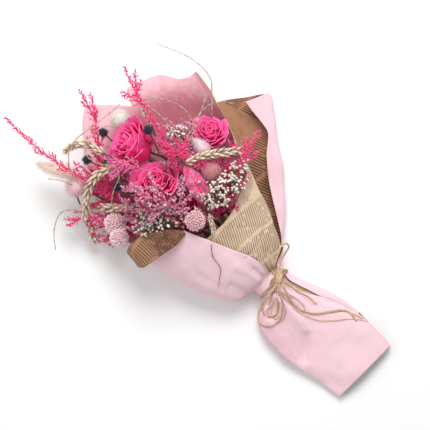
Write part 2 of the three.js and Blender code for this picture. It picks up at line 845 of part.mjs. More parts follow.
// What the bouquet holds, the earlier pieces keeping their full form where two would cross
const FLOWERS = [
  ['rose_1', COLOURS.roseRed, rose({
    centre: [196, -2, 51], axis: [0.76, 0.3, 0.57], size: 24, petals: 7,
  })],
  ['rose_2', COLOURS.roseRed, rose({
    centre: [154, 12, 52], axis: [0.42, -0.3, 0.85], size: 22, petals: 7,
  })],
  ['rose_3', COLOURS.roseRed, rose({
    centre: [150, -62, 50], axis: [0.4, -0.32, 0.86], size: 17, petals: 7,
  })],
  ['crimson_bloom', COLOURS.crimson, rose({
    centre: [112, 4, 55], axis: [0.3, 0.1, 0.94], size: 10, petals: 3,
  })],
  ['skeleton_leaf', COLOURS.hotPink, ribbedLeaf({
    base: [104, -12, 67],
    tip: [146, -22, 74],
    width: 19,
    arch: 4,
  })],
  ['wheat_1', COLOURS.wheat, wheat({
    points: [[194, 30, 67], [200, 44, 63], [197, 60, 56], [189, 74, 48], [181, 84, 40]],
  })],
  ['wheat_2', COLOURS.wheat, wheat({
    points: [[212, 27, 62], [226, 31, 60], [237, 40, 55], [240, 51, 49]],
  })],
  ['wheat_3', COLOURS.wheat, wheat({
    points: [[156, 48, 44], [168, 60, 40], [180, 71, 33], [188, 78, 28]],
    stations: 6,
  })],
  ['wheat_4', COLOURS.wheat, wheat({
    points: [[176, 86, 23], [166, 91, 19], [156, 95, 16]],
    stations: 5,
  })],
  ['wheat_5', COLOURS.wheat, wheat({
    points: [[146, -26, 78], [139, -41, 78], [128, -56, 75], [119, -68, 70]],
  })],
  ['wheat_6', COLOURS.wheat, wheat({
    points: [[198, -27, 69], [206, -30, 71], [213, -32, 71]],
    stations: 4,
    width: 7,
  })],
  ['wheat_7', COLOURS.wheat, wheat({
    points: [[92, -4, 70], [85, 0, 70], [79, 4, 70]],
    stations: 4,
    width: 7,
  })],
  ['bunny_tail_white', COLOURS.cream, tuftedHead({
    base: [137, -46, 65], tip: [157, -46, 70], width: 11, reach: 0.35, seed: 11,
  })],
  ['bunny_tail_rose', COLOURS.dusty, tuftedHead({
    base: [118, -37, 58], tip: [126, -37, 70], width: 16, reach: 0.2, fine: 1, seed: 12,
  })],
  ['bunny_tail_plume', COLOURS.cream, tuftedHead({
    base: [214, 61, 40], tip: [252, 82, 37], width: 12, reach: 0.3, seed: 13,
  })],
  ['bunny_tail_dusty', COLOURS.dusty, tuftedHead({
    base: [203, 68, 32], tip: [212, 71, 44], width: 16, reach: 0.25, fine: 1, seed: 14,
  })],
  ['bunny_tail_cream', COLOURS.cream, tuftedHead({
    base: [220, -8, 25], tip: [228, -10, 37], width: 17, reach: 0.25, fine: 1, seed: 15,
  })],
  ['globe_flower_1', COLOURS.dusty, tuftedHead({
    base: [96, 10, 65], tip: [102, 9, 77], width: 17, reach: 0.16, seed: 21,
  })],
  ['globe_flower_2', COLOURS.dusty, tuftedHead({
    base: [151, 66, 30], tip: [157, 71, 42], width: 16, reach: 0.16, seed: 22,
  })],
  ['globe_flower_3', COLOURS.dusty, tuftedHead({
    base: [140, 72, 37], tip: [141, 79, 48], width: 14, reach: 0.2, fine: 1, seed: 23,
  })],
  ['thistle_1', COLOURS.thistle, tuftedHead({
    base: [222, 12, 55], tip: [230, 12, 62], width: 8, reach: 0.4, fine: 1, seed: 31,
  })],
  ['thistle_2', COLOURS.thistle, tuftedHead({
    base: [215, 42, 46], tip: [222, 44, 51], width: 8, reach: 0.4, fine: 1, seed: 32,
  })],
  ['thistle_3', COLOURS.sage, tuftedHead({
    base: [202, 28, 44], tip: [210, 30, 49], width: 9, reach: 0.35, fine: 1, seed: 33,
  })],
  ['thistle_4', COLOURS.thistle, tuftedHead({
    base: [192, -20, 78], tip: [199, -22, 84], width: 8, reach: 0.4, fine: 1, seed: 34,
  })],
  ['thistle_5', COLOURS.thistle, tuftedHead({
    base: [175, 40, 55], tip: [180, 42, 62], width: 8, reach: 0.4, fine: 1, seed: 35,
  })],
  ['pink_spray_1', COLOURS.hotPink, spray({
    arms: [[[200, 57, 51], [226, 63, 53], [256, 69, 51], [284, 71, 48], [306, 71, 44]]],
    reach: 8, seed: 41,
  })],
  ['pink_spray_2', COLOURS.hotPink, spray({
    arms: [
      [[214, 30, 53], [236, 12, 53], [250, 2, 51], [262, -6, 49]],
      [[238, 10, 53], [256, 4, 55], [272, -1, 51]],
    ],
    reach: 8, seed: 42,
  })],
  ['pink_spray_3', COLOURS.hotPink, spray({
    arms: [
      [[172, -24, 74], [200, -32, 77], [222, -37, 76], [242, -43, 72], [257, -49, 69]],
      [[216, -36, 77], [228, -33, 77], [240, -30, 77]],
      [[228, -39, 75], [238, -46, 74], [246, -53, 72]],
    ],
    reach: 8, seed: 43,
  })],
  ['pink_spray_4', COLOURS.hotPink, spray({
    arms: [
      [[106, -60, 65], [110, -74, 67], [113, -86, 65], [117, -98, 62]],
      [[108, -68, 66], [118, -71, 69], [130, -70, 69]],
    ],
    reach: 7, seed: 44,
  })],
  ['pink_spray_5', COLOURS.hotPink, spray({
    arms: [
      [[172, 10, 77], [184, 17, 77], [196, 25, 76], [209, 30, 72]],
      [[178, 14, 77], [186, 26, 76], [192, 36, 72]],
    ],
    reach: 8, seed: 45,
  })],
  ['pink_spray_6', COLOURS.hotPink, spray({
    arms: [
      [[142, -32, 78], [156, -26, 81], [170, -23, 81], [184, -20, 78]],
      [[152, -28, 80], [162, -33, 79], [174, -35, 77]],
    ],
    reach: 8, seed: 46,
  })],
  ['red_spray_1', COLOURS.crimson, spray({
    arms: [
      [[96, -36, 65], [108, -46, 67], [118, -58, 67], [120, -68, 65]],
      [[98, -37, 65], [112, -36, 69], [126, -40, 70]],
      [[98, -40, 65], [98, -52, 67], [100, -64, 65]],
    ],
    reach: 8, thick: 2, seed: 47,
  })],
  ['red_spray_2', COLOURS.crimson, spray({
    arms: [
      [[124, 54, 37], [142, 66, 28], [158, 78, 25], [172, 88, 23]],
      [[132, 60, 33], [144, 80, 25], [152, 92, 19]],
      [[128, 56, 35], [146, 60, 33], [164, 66, 30]],
    ],
    reach: 9, thick: 2, seed: 48,
  })],
  ['pink_spray_7', COLOURS.hotPink, spray({
    arms: [[[172, 78, 32], [182, 90, 30], [192, 101, 26]]],
    reach: 7, seed: 49,
  })],
  ['grass_fan', COLOURS.crimson, strandFan({
    root: [170, 46, 32],
    tips: [[204, 62, 40], [210, 54, 38], [196, 68, 40], [212, 46, 36], [186, 74, 40], [210, 36, 34]],
  })],
  ['sea_lavender_1', COLOURS.mauve, spray({
    arms: [
      [[114, 12, 72], [134, 18, 83], [154, 28, 86], [174, 38, 80]],
      [[124, 15, 78], [134, 31, 79], [148, 41, 76]],
      [[120, 13, 76], [128, -2, 78], [138, -12, 79]],
    ],
    reach: 4.5, pitch: 8.5, thick: 2, seed: 51,
  })],
  ['sea_lavender_2', COLOURS.mauve, spray({
    arms: [
      [[140, -34, 63], [160, -34, 69], [174, -38, 69], [188, -42, 67]],
      [[150, -34, 66], [166, -28, 69], [180, -26, 67]],
      [[146, -34, 64], [160, -44, 58], [178, -52, 55]],
    ],
    reach: 4.5, pitch: 8.5, thick: 2, seed: 52,
  })],
  ['sea_lavender_3', COLOURS.mauve, spray({
    arms: [
      [[114, 36, 56], [134, 42, 60], [150, 44, 58], [168, 46, 53]],
      [[124, 39, 58], [138, 50, 56], [150, 58, 49]],
      [[118, 36, 56], [124, 48, 55], [130, 60, 49]],
      [[170, 30, 35], [190, 26, 32], [214, 20, 30]],
    ],
    reach: 4.5, pitch: 9, thick: 2, seed: 53,
  })],
  ['gypsophila_1', COLOURS.white, cluster({
    root: [90, -28, 58], middle: [104, -34, 71], radii: [17, 26, 7], florets: 16, size: 5.4, seed: 61,
  })],
  ['gypsophila_2', COLOURS.white, cluster({
    root: [108, 34, 56], middle: [126, 38, 69], radii: [16, 20, 5], florets: 13, size: 5.4, seed: 62,
  })],
  ['gypsophila_3', COLOURS.white, cluster({
    root: [160, -40, 62], middle: [172, -40, 74], radii: [8, 7, 3], florets: 6, size: 4.8, seed: 63,
  })],
];

const TWIG_ROUTES = [
  [
    [180, 62, 46], [204, 66, 55], [222, 62, 59.5], [236, 50, 62], [240, 36, 65], [237, 14, 67],
    [235, -6, 63], [234, -20, 58],
  ],
  [
    [170, 57, 53], [178, 45, 63], [183, 32, 74], [193, 28, 79], [205, 36, 76], [220, 40, 70],
    [229, 32, 72], [232, 20, 74], [225, 2, 74], [216, -4, 76],
  ],
  [
    [136, -52, 32.5], [147, -62, 33], [158, -72, 43], [163, -78, 58], [178, -93, 63], [186, -100, 69],
    [198, -103, 74], [212, -102, 79], [226, -98, 81], [240, -92, 79], [250, -88, 76],
  ],
  [[156, -34, 66], [159, -43, 75], [167, -62, 77], [174, -76, 76], [180, -88, 72]],
  [[160, -36, 66], [166, -53, 71], [171, -70, 74], [170, -82, 76], [164, -92, 76], [154, -100, 72]],
  [
    [158, -61, 56], [174, -60, 67], [186, -61, 72], [200, -57, 76], [212, -49, 76], [220, -38, 72],
    [223, -28, 67],
  ],
  [[164, -37, 79], [180, -38, 81], [192, -40, 81], [207, -39, 79], [220, -36, 79]],
  [[208, 69, 38], [213, 72, 47], [222, 76, 48], [233, 84, 44]],
  [
    [176, 80, 32], [184, 83, 35], [194, 89, 33], [200, 99, 30], [196, 112, 25], [188, 122, 19],
    [178, 130, 14],
  ],
  [[71, 15], [62, 22], [48, 25], [42, 32], [36, 40]].map(([x, y]) => [x, y, wrapTop(x, y) + 2.4]),
];

// Assembly: each piece is cut clear of those before it, and what the cut leaves loose is dropped

const placed = [];

function clearOfPlaced(solid) {
  const box = solid.boundingBox();
  return placed.reduce((rest, other) => {
    const apart = [0, 1, 2].some((i) => other.box.min[i] > box.max[i] || other.box.max[i] < box.min[i]);
    return apart ? rest : rest.subtract(other.solid);
  }, solid);
}

function distanceToBox(box, point) {
  const bounds = new THREE.Box3(vec(box.min), vec(box.max));
  return bounds.distanceToPoint(point);
}

function wholePiece(solid, heart) {
  const pieces = solid.decompose();
  const near = pieces.filter((piece) => !heart || distanceToBox(piece.boundingBox(), heart) < 1);
  const choice = near.length > 0 ? near : pieces;
  return choice.reduce((best, next) => (next.volume() > best.volume() ? next : best));
}

function place(body, shield, heart) {
  const whole = wholePiece(clearOfPlaced(body), heart);
  placed.push({ solid: shield, box: shield.boundingBox() });
  return whole;
}

function meshOf(name, solid, colour, roughness = 0.8) {
  const data = solid.getMesh();
  const geometry = new THREE.BufferGeometry();
  geometry.setAttribute('position', new THREE.BufferAttribute(new Float32Array(data.vertProperties), 3));
  geometry.setIndex(new THREE.BufferAttribute(new Uint32Array(data.triVerts), 1));
  geometry.computeVertexNormals();
  const material = new THREE.MeshStandardMaterial({ color: colour, roughness, metalness: 0 });
  const mesh = new THREE.Mesh(geometry, material);
  mesh.name = name;
  return mesh;
}

const bouquet = new THREE.Group();

function addPiece(name, body, shield, colour, heart) {
  const whole = place(body, shield, heart);
  bouquet.add(meshOf(name, whole, colour));
}

addPiece('outer_wrap', outerWrap(), outerWrap(CLEARANCE), COLOURS.pinkPaper);
addPiece('inner_wrap', innerWrap(), innerWrap(CLEARANCE), COLOURS.kraft);
addPiece('stem_bundle', stemBundle(), stemBundle(CLEARANCE), COLOURS.straw);
addPiece('twine_binding', twineBinding(), twineBinding(), COLOURS.twine);
for (const [name, route] of Object.entries(TWINE_ROUTES)) {
  const path = twineRoute(route);
  const step = TWINE * 3;
  addPiece(name, cordSolid(path, TWINE, 8, step), cordSolid(path, TWINE, 8, step, CLEARANCE), COLOURS.twine);
}
for (const [name, colour, { body, shield, heart }] of FLOWERS) {
  addPiece(name, body(), shield(), colour, heart);
}
TWIG_ROUTES.forEach((points, i) => {
  const { body, shield, heart } = twig({ points });
  addPiece(`twig_${i + 1}`, body(), shield(), COLOURS.twig, heart);
});

bouquet.position.copy(ORIGIN).negate();
bouquet.updateMatrixWorld(true);

export default bouquet;
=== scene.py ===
"""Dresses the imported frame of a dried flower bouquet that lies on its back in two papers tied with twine.

Inside the classes every length is in millimetres and is measured from the tie, as in the model's own
source. The function metres() takes such points to the shared frame.
"""

import logging
import math
from dataclasses import dataclass
from enum import Enum
from functools import cache

import bpy
import numpy as np
from mathutils import Matrix


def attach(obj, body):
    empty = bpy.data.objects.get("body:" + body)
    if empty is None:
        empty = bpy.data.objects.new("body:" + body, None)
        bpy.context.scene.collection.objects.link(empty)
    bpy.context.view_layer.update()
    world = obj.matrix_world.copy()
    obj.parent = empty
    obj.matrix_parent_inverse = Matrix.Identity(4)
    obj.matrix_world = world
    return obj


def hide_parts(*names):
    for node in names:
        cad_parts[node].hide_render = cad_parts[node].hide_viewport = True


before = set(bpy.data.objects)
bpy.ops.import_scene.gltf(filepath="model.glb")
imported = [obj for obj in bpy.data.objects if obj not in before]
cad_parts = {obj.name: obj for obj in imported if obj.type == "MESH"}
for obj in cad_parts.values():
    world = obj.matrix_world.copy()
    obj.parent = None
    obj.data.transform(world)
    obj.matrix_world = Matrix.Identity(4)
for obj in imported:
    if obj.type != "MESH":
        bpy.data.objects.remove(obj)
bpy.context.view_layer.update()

LOG = logging.getLogger("bouquet")

ORIGIN = np.array([90.33, -1.73, 0.0])  # the middle of the frame, seen from the tie
GOLDEN_ANGLE = math.radians(137.5)
ANY_ROLL = 6.28  # the most that a small solid is rolled about its own axis, in radians
TWINE = 1.8  # the thickness of the twine
STRAND = 0.95  # the thickness of one of its strands
PAPER = 0.8  # the thickness that the papers' forms are laid out for
LAYER_GAP = 0.4  # the gap between the two papers
SPLINE_STEPS = 16
WAVES = 7  # how many waves a ripple adds up
HAIR_FORM = ((0, 0), (0.1, 0.5), (1, 0))

Points = np.ndarray
Solid = tuple[Points, Points]  # the points and the faces of a mesh
Socket = bpy.types.NodeSocket
Piece = bpy.types.Object
Colour = tuple[int, int, int]


# Numbers and points


def metres(points: Points) -> Points:
    """Takes points in millimetres from the tie to metres in the shared frame."""
    return (np.asarray(points, dtype=float) - ORIGIN) / 1000.0


def unit(vectors: Points) -> Points:
    """Scales each vector to length one."""
    vectors = np.asarray(vectors, dtype=float)
    return vectors / np.maximum(np.linalg.norm(vectors, axis=-1, keepdims=True), 1e-9)


def smoothstep(value: float | Points, low: float, high: float) -> float | Points:
    """Rises smoothly from 0 at low to 1 at high."""
    share = np.clip((value - low) / (high - low), 0.0, 1.0)
    return share * share * (3 - 2 * share)


def frame_along(direction: Points) -> Points:
    """Gives the rows forward, side and up of a frame that looks along a direction."""
    return frames_along(np.array([direction], dtype=float), np.zeros(1))[0]


def frames_along(directions: Points, rolls: Points) -> Points:
    """Gives one frame for each direction, each rolled about it by an angle.

    Args:
        directions: An array of n vectors.
        rolls: The n roll angles in radians.

    Returns:
        An array of n frames, with the rows forward, side and up.
    """
    forward = unit(directions)
    helper = np.where(np.abs(forward[:, 2:3]) < 0.9, [[0.0, 0.0, 1.0]], [[1.0, 0.0, 0.0]])
    side = unit(np.cross(helper, forward))
    above = np.cross(forward, side)
    cos, sin = np.cos(rolls)[:, None], np.sin(rolls)[:, None]
    return np.stack([forward, side * cos + above * sin, above * cos - side * sin], axis=1)


def spline(route: Points, step: float) -> Points:
    """Draws a smooth line through a route, as even steps along its length.

    Args:
        route: The points that it passes through.
        step: The distance between the points that come back.

    Returns:
        The points of the line, its two ends included.
    """
    knots = np.asarray(route, dtype=float)
    if len(knots) < 2:
        return knots
    wide = np.vstack([2 * knots[0] - knots[1], knots, 2 * knots[-1] - knots[-2]])
    share = np.linspace(0, 1, SPLINE_STEPS, endpoint=False)[:, None]
    runs = []
    for i in range(1, len(wide) - 2):
        a, b, c, d = wide[i - 1 : i + 3]
        pairs = ((a, b), (b, c), (c, d))
        before, here, after = (max(math.sqrt(np.linalg.norm(q - p)), 1e-4) for p, q in pairs)
        leave = ((b - a) / before - (c - a) / (before + here) + (c - b) / here) * here
        arrive = ((c - b) / here - (d - b) / (here + after) + (d - c) / after) * here
        curve = b + leave * share + (3 * (c - b) - 2 * leave - arrive) * share**2
        runs.append(curve + (2 * (b - c) + leave + arrive) * share**3)
    line = np.vstack([*runs, knots[-1:]])
    return evenly(line, step)


def evenly(line: Points, step: float) -> Points:
    """Puts even steps along a line of points.

    Args:
        line: The line.
        step: The distance between the points that come back.

    Returns:
        The points, the line's two ends included.
    """
    lengths = np.concatenate([[0.0], np.cumsum(np.linalg.norm(np.diff(line, axis=0), axis=1))])
    count = max(2, round(lengths[-1] / step) + 1)
    targets = np.linspace(0, lengths[-1], count)
    return np.column_stack([np.interp(targets, lengths, line[:, i]) for i in range(3)])


def run_length(line: Points) -> float:
    """Measures a line of points."""
    return float(np.linalg.norm(np.diff(line, axis=0), axis=1).sum())


def carried_frames(line: Points) -> Points:
    """Gives a frame at each point of a line, carried along it without twisting.

    Args:
        line: The line's points.

    Returns:
        One frame for each point, with the rows forward, side and up.
    """
    forwards = unit(np.gradient(line, axis=0))
    side = frame_along(forwards[0])[1]
    frames = []
    for forward in forwards:
        side = unit(side - forward * np.dot(side, forward))
        frames.append([forward, side, np.cross(forward, side)])
    return np.array(frames)


def ripple(points: Points, length: float, seed: int) -> Points:
    """Gives a smooth random height, between about -1 and 1, at each point.

    Args:
        points: The places where it is read.
        length: The usual distance between two crests.
        seed: Which of the random fields it is.

    Returns:
        One height for each point.
    """
    draw = np.random.default_rng(seed)
    total = np.zeros(points.shape[:-1])
    for _ in range(WAVES):
        wave = unit(draw.normal(size=3)) * draw.uniform(0.7, 1.5) * 2 * math.pi / length
        total += np.sin(points @ wave + draw.uniform(0, 2 * math.pi))
    return total / (WAVES / 2)


# Meshes


class Shape:
    """Points and faces gathered for one piece, with a finish for each face and a tone for each point."""

    def __init__(self, name: str) -> None:
        """Starts an empty shape under a name.

        Args:
            name: The name of the piece.
        """
        self.name = name
        self.points: list[Points] = []
        self.faces: list[Points] = []
        self.finishes: list[Points] = []
        self.tones: list[Points] = []
        self.alongs: list[Points] = []
        self.count = 0

    def add(
        self,
        solid: Solid,
        finish: int = 0,
        tone: float | Points = 0.5,
        along: float | Points = 0.0,
    ) -> None:
        """Adds points with their faces.

        Args:
            solid: The points in millimetres from the tie, and the faces as rows of indices.
            finish: Which of the piece's finishes they wear.
            tone: How light they are, from 0 to 1: random tone, and on the papers and the rose petals also
                painted light and shade.
            along: How far each point is from its root to its tip, from 0 to 1.
        """
        points, faces = solid
        self.points.append(points)
        self.faces.append(faces + self.count)
        self.finishes.append(np.full(len(faces), finish))
        self.tones.append(np.broadcast_to(tone, len(points)))
        self.alongs.append(np.broadcast_to(along, len(points)))
        self.count += len(points)

    def add_faces(self, faces: Points, finish: int) -> None:
        """Adds faces in a finish of their own over the first points."""
        self.faces.append(faces)
        self.finishes.append(np.full(len(faces), finish))

    def build(self, materials: list[bpy.types.Material]) -> Piece:
        """Makes the Blender object, smooth and in metres in the shared frame.

        Args:
            materials: One for each finish, in their order.

        Returns:
            The object, in the scene.
        """
        mesh = bpy.data.meshes.new(self.name)
        faces = [row for block in self.faces for row in block.tolist()]
        mesh.from_pydata(metres(np.vstack(self.points)).tolist(), [], faces)
        mesh.polygons.foreach_set("material_index", np.concatenate(self.finishes).astype(np.int32))
        mesh.polygons.foreach_set("use_smooth", np.full(len(faces), True))
        for name, values in (("tone", self.tones), ("along", self.alongs)):
            layer = mesh.attributes.new(name, "FLOAT", "POINT")
            layer.data.foreach_set("value", np.concatenate(values).astype(np.float32))
        for material in materials:
            mesh.materials.append(material)
        mesh.update()
        piece = bpy.data.objects.new(self.name, mesh)
        bpy.context.scene.collection.objects.link(piece)
        return piece


def turned(profile: list[tuple[float, float]], sides: int) -> Solid:
    """Turns a profile about the forward axis into a closed solid that starts and ends in a point.

    Args:
        profile: Rows of distance along the axis and radius, with radius 0 at both ends.
        sides: How many sides each ring has.

    Returns:
        The points and the triangles.
    """
    angles = np.arange(sides) * 2 * math.pi / sides
    rings = [
        np.column_stack([np.full(sides, along), radius * np.cos(angles), radius * np.sin(angles)])
        for along, radius in profile[1:-1]
    ]
    points = np.vstack([[[profile[0][0], 0, 0]], *rings, [[profile[-1][0], 0, 0]]])
    last = len(points) - 1
    here = np.arange(sides)
    following = (here + 1) % sides
    faces = [np.column_stack([np.zeros(sides, int), 1 + following, 1 + here])]
    for i in range(len(rings) - 1):
        low, high = 1 + i * sides, 1 + (i + 1) * sides
        faces.append(np.column_stack([low + here, low + following, high + following]))
        faces.append(np.column_stack([low + here, high + following, high + here]))
    top = last - sides
    faces.append(np.column_stack([np.full(sides, last), top + here, top + following]))
    return points, np.vstack(faces)


def scattered(template: Solid, places: Points, frames: Points, sizes: Points) -> Solid:
    """Sets many copies of one small solid, each with its own place, direction and size.

    Args:
        template: The points and faces of the small solid, along the forward axis.
        places: Where each copy's origin lies.
        frames: The frame of each copy.
        sizes: The length, width and height of each copy.

    Returns:
        The points and faces of all the copies.
    """
    points, faces = template
    local = points[None] * sizes[:, None, :]
    world = np.einsum("nkj,nji->nki", local, frames) + places[:, None]
    starts = np.arange(len(places)) * len(points)
    return world.reshape(-1, 3), (faces[None] + starts[:, None, None]).reshape(-1, faces.shape[1])


def tube(line: Points, radius: float | Points, sides: int, plies: float = 0.0) -> Solid:
    """Sweeps a round or three-stranded section along a line, with closed ends.

    Args:
        line: The centre line.
        radius: One radius, or one for each point of the line.
        sides: How many sides the section has.
        plies: The turns that the strands make for each millimetre, or 0 for a plain round section.

    Returns:
        The points and the triangles.
    """
    frames = carried_frames(line)
    radii = np.broadcast_to(radius, len(line))
    angles = np.arange(sides) * 2 * math.pi / sides
    reach = np.repeat(radii[:, None], sides, axis=1)
    if plies:
        steps = np.concatenate([[0.0], np.cumsum(np.linalg.norm(np.diff(line, axis=0), axis=1))])
        turn = steps[:, None] * plies * 2 * math.pi
        reach = reach * (0.86 + 0.18 * np.abs(np.cos(1.5 * (angles[None] - turn))))
    cos, sin = np.cos(angles)[:, None], np.sin(angles)[:, None]
    ring = frames[:, None, 1] * cos + frames[:, None, 2] * sin
    points = (line[:, None] + ring * reach[:, :, None]).reshape(-1, 3)
    here = np.arange(sides)
    following = (here + 1) % sides
    low = (np.arange(len(line) - 1) * sides)[:, None]
    faces = [
        np.stack([low + here, low + following, low + sides + following], axis=-1).reshape(-1, 3),
        np.stack([low + here, low + sides + following, low + sides + here], axis=-1).reshape(-1, 3),
    ]
    ends = np.vstack([line[0], line[-1]])
    first = len(points)
    top = (len(line) - 1) * sides
    faces.append(np.column_stack([np.full(sides, first), following, here]))
    faces.append(np.column_stack([np.full(sides, first + 1), top + here, top + following]))
    return np.vstack([points, ends]), np.vstack(faces)


def smoothed(grid: Points, times: int, axis: int, keep_corners: float = 0.0) -> Points:
    """Puts more rows into a grid of points, without leaving the range of the rows beside them.

    Args:
        grid: The rows and columns of points.
        times: How many steps each gap is divided into.
        axis: 0 for more rows, 1 for more columns.
        keep_corners: How much of the straight line between two points is kept along x.

    Returns:
        The finer grid.
    """
    rows = np.moveaxis(grid, axis, 0)
    step = np.diff(rows, axis=0)
    before, after = step[:-1], step[1:]
    same = before * after > 0
    inner = np.where(same, 2 * before * after / np.where(same, before + after, 1.0), 0.0)
    slopes = np.concatenate([step[:1], inner, step[-1:]])
    share = (np.arange(times) / times)[None, :, None, None]
    low, high = rows[:-1, None], rows[1:, None]
    leave, arrive = slopes[:-1, None], slopes[1:, None]
    curve = (
        low * (1 + 2 * share) * (1 - share) ** 2
        + leave * share * (1 - share) ** 2
        + high * share**2 * (3 - 2 * share)
        + arrive * share**2 * (share - 1)
    )
    straight = low + (high - low) * share
    curve[..., 0] += (straight[..., 0] - curve[..., 0]) * keep_corners
    fine = np.concatenate([curve.reshape(-1, *rows.shape[1:]), rows[-1:]])
    return np.moveaxis(fine, 0, axis)


def even_rows(grid: Points, pitch: float) -> Points:
    """Spaces the rows of a grid evenly, so that none of its columns has gaps longer than the pitch.

    Args:
        grid: The rows and columns of points.
        pitch: The longest gap.

    Returns:
        The grid with other rows.
    """
    steps = np.linalg.norm(np.diff(grid, axis=0), axis=-1).max(axis=1)
    lengths = np.concatenate([[0.0], np.cumsum(steps)])
    targets = np.linspace(0, lengths[-1], math.ceil(lengths[-1] / pitch) + 1)
    index = np.interp(targets, lengths, np.arange(len(grid)))
    low = np.minimum(index.astype(int), len(grid) - 2)
    share = (index - low)[:, None, None]
    return grid[low] * (1 - share) + grid[low + 1] * share


def grid_normals(grid: Points) -> Points:
    """Gives the normal at each point of a grid."""
    return unit(np.cross(np.gradient(grid, axis=0), np.gradient(grid, axis=1)))


def sheet_faces(rows: int, columns: int) -> tuple[Points, Points, Points]:
    """Gives the faces of a grid's two sides and of its border, for points listed side by side.

    Args:
        rows: How many rows the grid has.
        columns: How many columns it has.

    Returns:
        The faces of the front, of the back and of the border.
    """
    at = np.arange(rows * columns).reshape(rows, columns)
    count = rows * columns
    front = np.stack([at[:-1, :-1], at[1:, :-1], at[1:, 1:], at[:-1, 1:]], axis=-1).reshape(-1, 4)
    back = front[:, ::-1] + count
    loop = np.concatenate([at[:-1, 0], at[-1, :-1], at[:0:-1, -1], at[0, :0:-1]])
    following = np.roll(loop, -1)
    border = np.column_stack([loop, loop + count, following + count, following])
    return front, back, border


def two_sides(grid: Points, thickness: float) -> Points:
    """Gives the points of a sheet's two sides, each half its thickness from the grid."""
    offset = grid_normals(grid) * thickness / 2
    return np.concatenate([grid + offset, grid - offset]).reshape(-1, 3)


def thickened(grid: Points, thickness: float) -> Solid:
    """Makes a closed sheet of even thickness from a grid of points."""
    return two_sides(grid, thickness), np.vstack(sheet_faces(*grid.shape[:2]))


# Finishes


def blender_colour(screen: Colour) -> tuple[float, ...]:
    """Takes a screen colour of 0 to 255 to Blender's own, with full alpha."""
    shares = [value / 255 for value in screen]
    return (*(s / 12.92 if s <= 0.04045 else ((s + 0.055) / 1.055) ** 2.4 for s in shares), 1.0)


class Graph:
    """A node tree with short calls to add nodes and join them."""

    def __init__(self, tree: bpy.types.NodeTree) -> None:
        """Takes the tree that nodes are added to."""
        self.tree = tree

    def add(self, kind: str, inputs: dict | None = None, **settings: object) -> bpy.types.Node:
        """Adds a node.

        Args:
            kind: Its type.
            inputs: A value or another node's output for each input.
            settings: Its other properties.

        Returns:
            The node.
        """
        node = self.tree.nodes.new(kind)
        for key, value in settings.items():
            setattr(node, key, value)
        for key, value in (inputs or {}).items():
            if isinstance(value, Socket):
                self.tree.links.new(value, node.inputs[key])
            else:
                node.inputs[key].default_value = value
        return node

    def math(self, operation: str, first: object, second: object = 0.0) -> Socket:
        """Adds a sum or another operation on two numbers."""
        return self.add("ShaderNodeMath", {0: first, 1: second}, operation=operation).outputs[0]

    def noise(self, where: Socket, scale: object, detail: float = 3.0) -> Socket:
        """Adds a noise, read at a place."""
        inputs = {"Vector": where, "Scale": scale, "Detail": detail}
        return self.add("ShaderNodeTexNoise", inputs).outputs[0]

    def mix(self, share: object, first: object, second: object) -> Socket:
        """Adds a mix of two colours."""
        inputs = {0: share, 6: first, 7: second}
        return self.add("ShaderNodeMix", inputs, data_type="RGBA").outputs[2]

    def ramp(self, value: object, low: float, high: float) -> Socket:
        """Adds a rise from 0 at low to 1 at high."""
        inputs = {0: value, 1: low, 2: high}
        return self.add("ShaderNodeMapRange", inputs, interpolation_type="SMOOTHSTEP").outputs[0]

    def random(self, first: Socket, second: Socket) -> Socket:
        """Adds a random value from 0 to 1 for each pair of whole numbers."""
        cell = self.add("ShaderNodeCombineXYZ", {0: first, 1: second}).outputs[0]
        return self.add("ShaderNodeTexWhiteNoise", {"Vector": cell}, noise_dimensions="2D").outputs[0]

    def from_middle(self, value: Socket) -> Socket:
        """Adds how far a number's fraction is from one half."""
        return self.math("ABSOLUTE", self.math("SUBTRACT", self.math("FRACT", value), 0.5))


def new_group(name: str, inputs: dict[str, object], outputs: dict[str, str]) -> tuple[Graph, dict]:
    """Starts a shader node group.

    Args:
        name: The group's name.
        inputs: The default of each input: a number, or a colour of four numbers.
        outputs: The socket type of each output.

    Returns:
        Its graph and the sockets that give its inputs.
    """
    tree = bpy.data.node_groups.new(name, "ShaderNodeTree")
    for key, value in inputs.items():
        kind = "NodeSocketFloat" if isinstance(value, float) else "NodeSocketColor"
        tree.interface.new_socket(key, in_out="INPUT", socket_type=kind).default_value = value
    for key, kind in outputs.items():
        tree.interface.new_socket(key, in_out="OUTPUT", socket_type=kind)
    graph = Graph(tree)
    return graph, graph.add("NodeGroupInput").outputs


@cache
def mottle_group() -> bpy.types.NodeTree:
    """Builds the two-tone variation that every finish starts from, moved by each point's tone, which on the
    papers and the rose petals is partly painted light and shade.

    Returns:
        The group.
    """
    inputs = {"Light": (1.0, 1.0, 1.0, 1.0), "Dark": (0.0, 0.0, 0.0, 1.0), "Scale": 300.0, "Spread": 0.5}
    outputs = {"Colour": "NodeSocketColor", "Height": "NodeSocketFloat"}
    graph, given = new_group("Mottled tone", inputs, outputs)
    broad_scale, broad_share, fine_share, contrast = 0.22, 0.55, 0.45, 4.0
    where = graph.add("ShaderNodeTexCoord").outputs["Object"]
    # The tone attribute: random tone, and on the papers and the rose petals painted light and shade.
    tone = graph.add("ShaderNodeAttribute", attribute_name="tone").outputs["Fac"]
    broad = graph.noise(where, graph.math("MULTIPLY", given["Scale"], broad_scale))
    fine = graph.noise(where, given["Scale"])
    parts = (graph.math("MULTIPLY", broad, broad_share), graph.math("MULTIPLY", fine, fine_share))
    centred = graph.math("SUBTRACT", graph.math("ADD", *parts), 0.5)
    varied = graph.math("MULTIPLY", centred, given["Spread"])
    share = graph.math("ADD", graph.math("MULTIPLY", varied, contrast), tone)
    colour = graph.mix(graph.ramp(share, 0.0, 1.0), given["Dark"], given["Light"])
    graph.add("NodeGroupOutput", {"Colour": colour, "Height": fine})
    return graph.tree


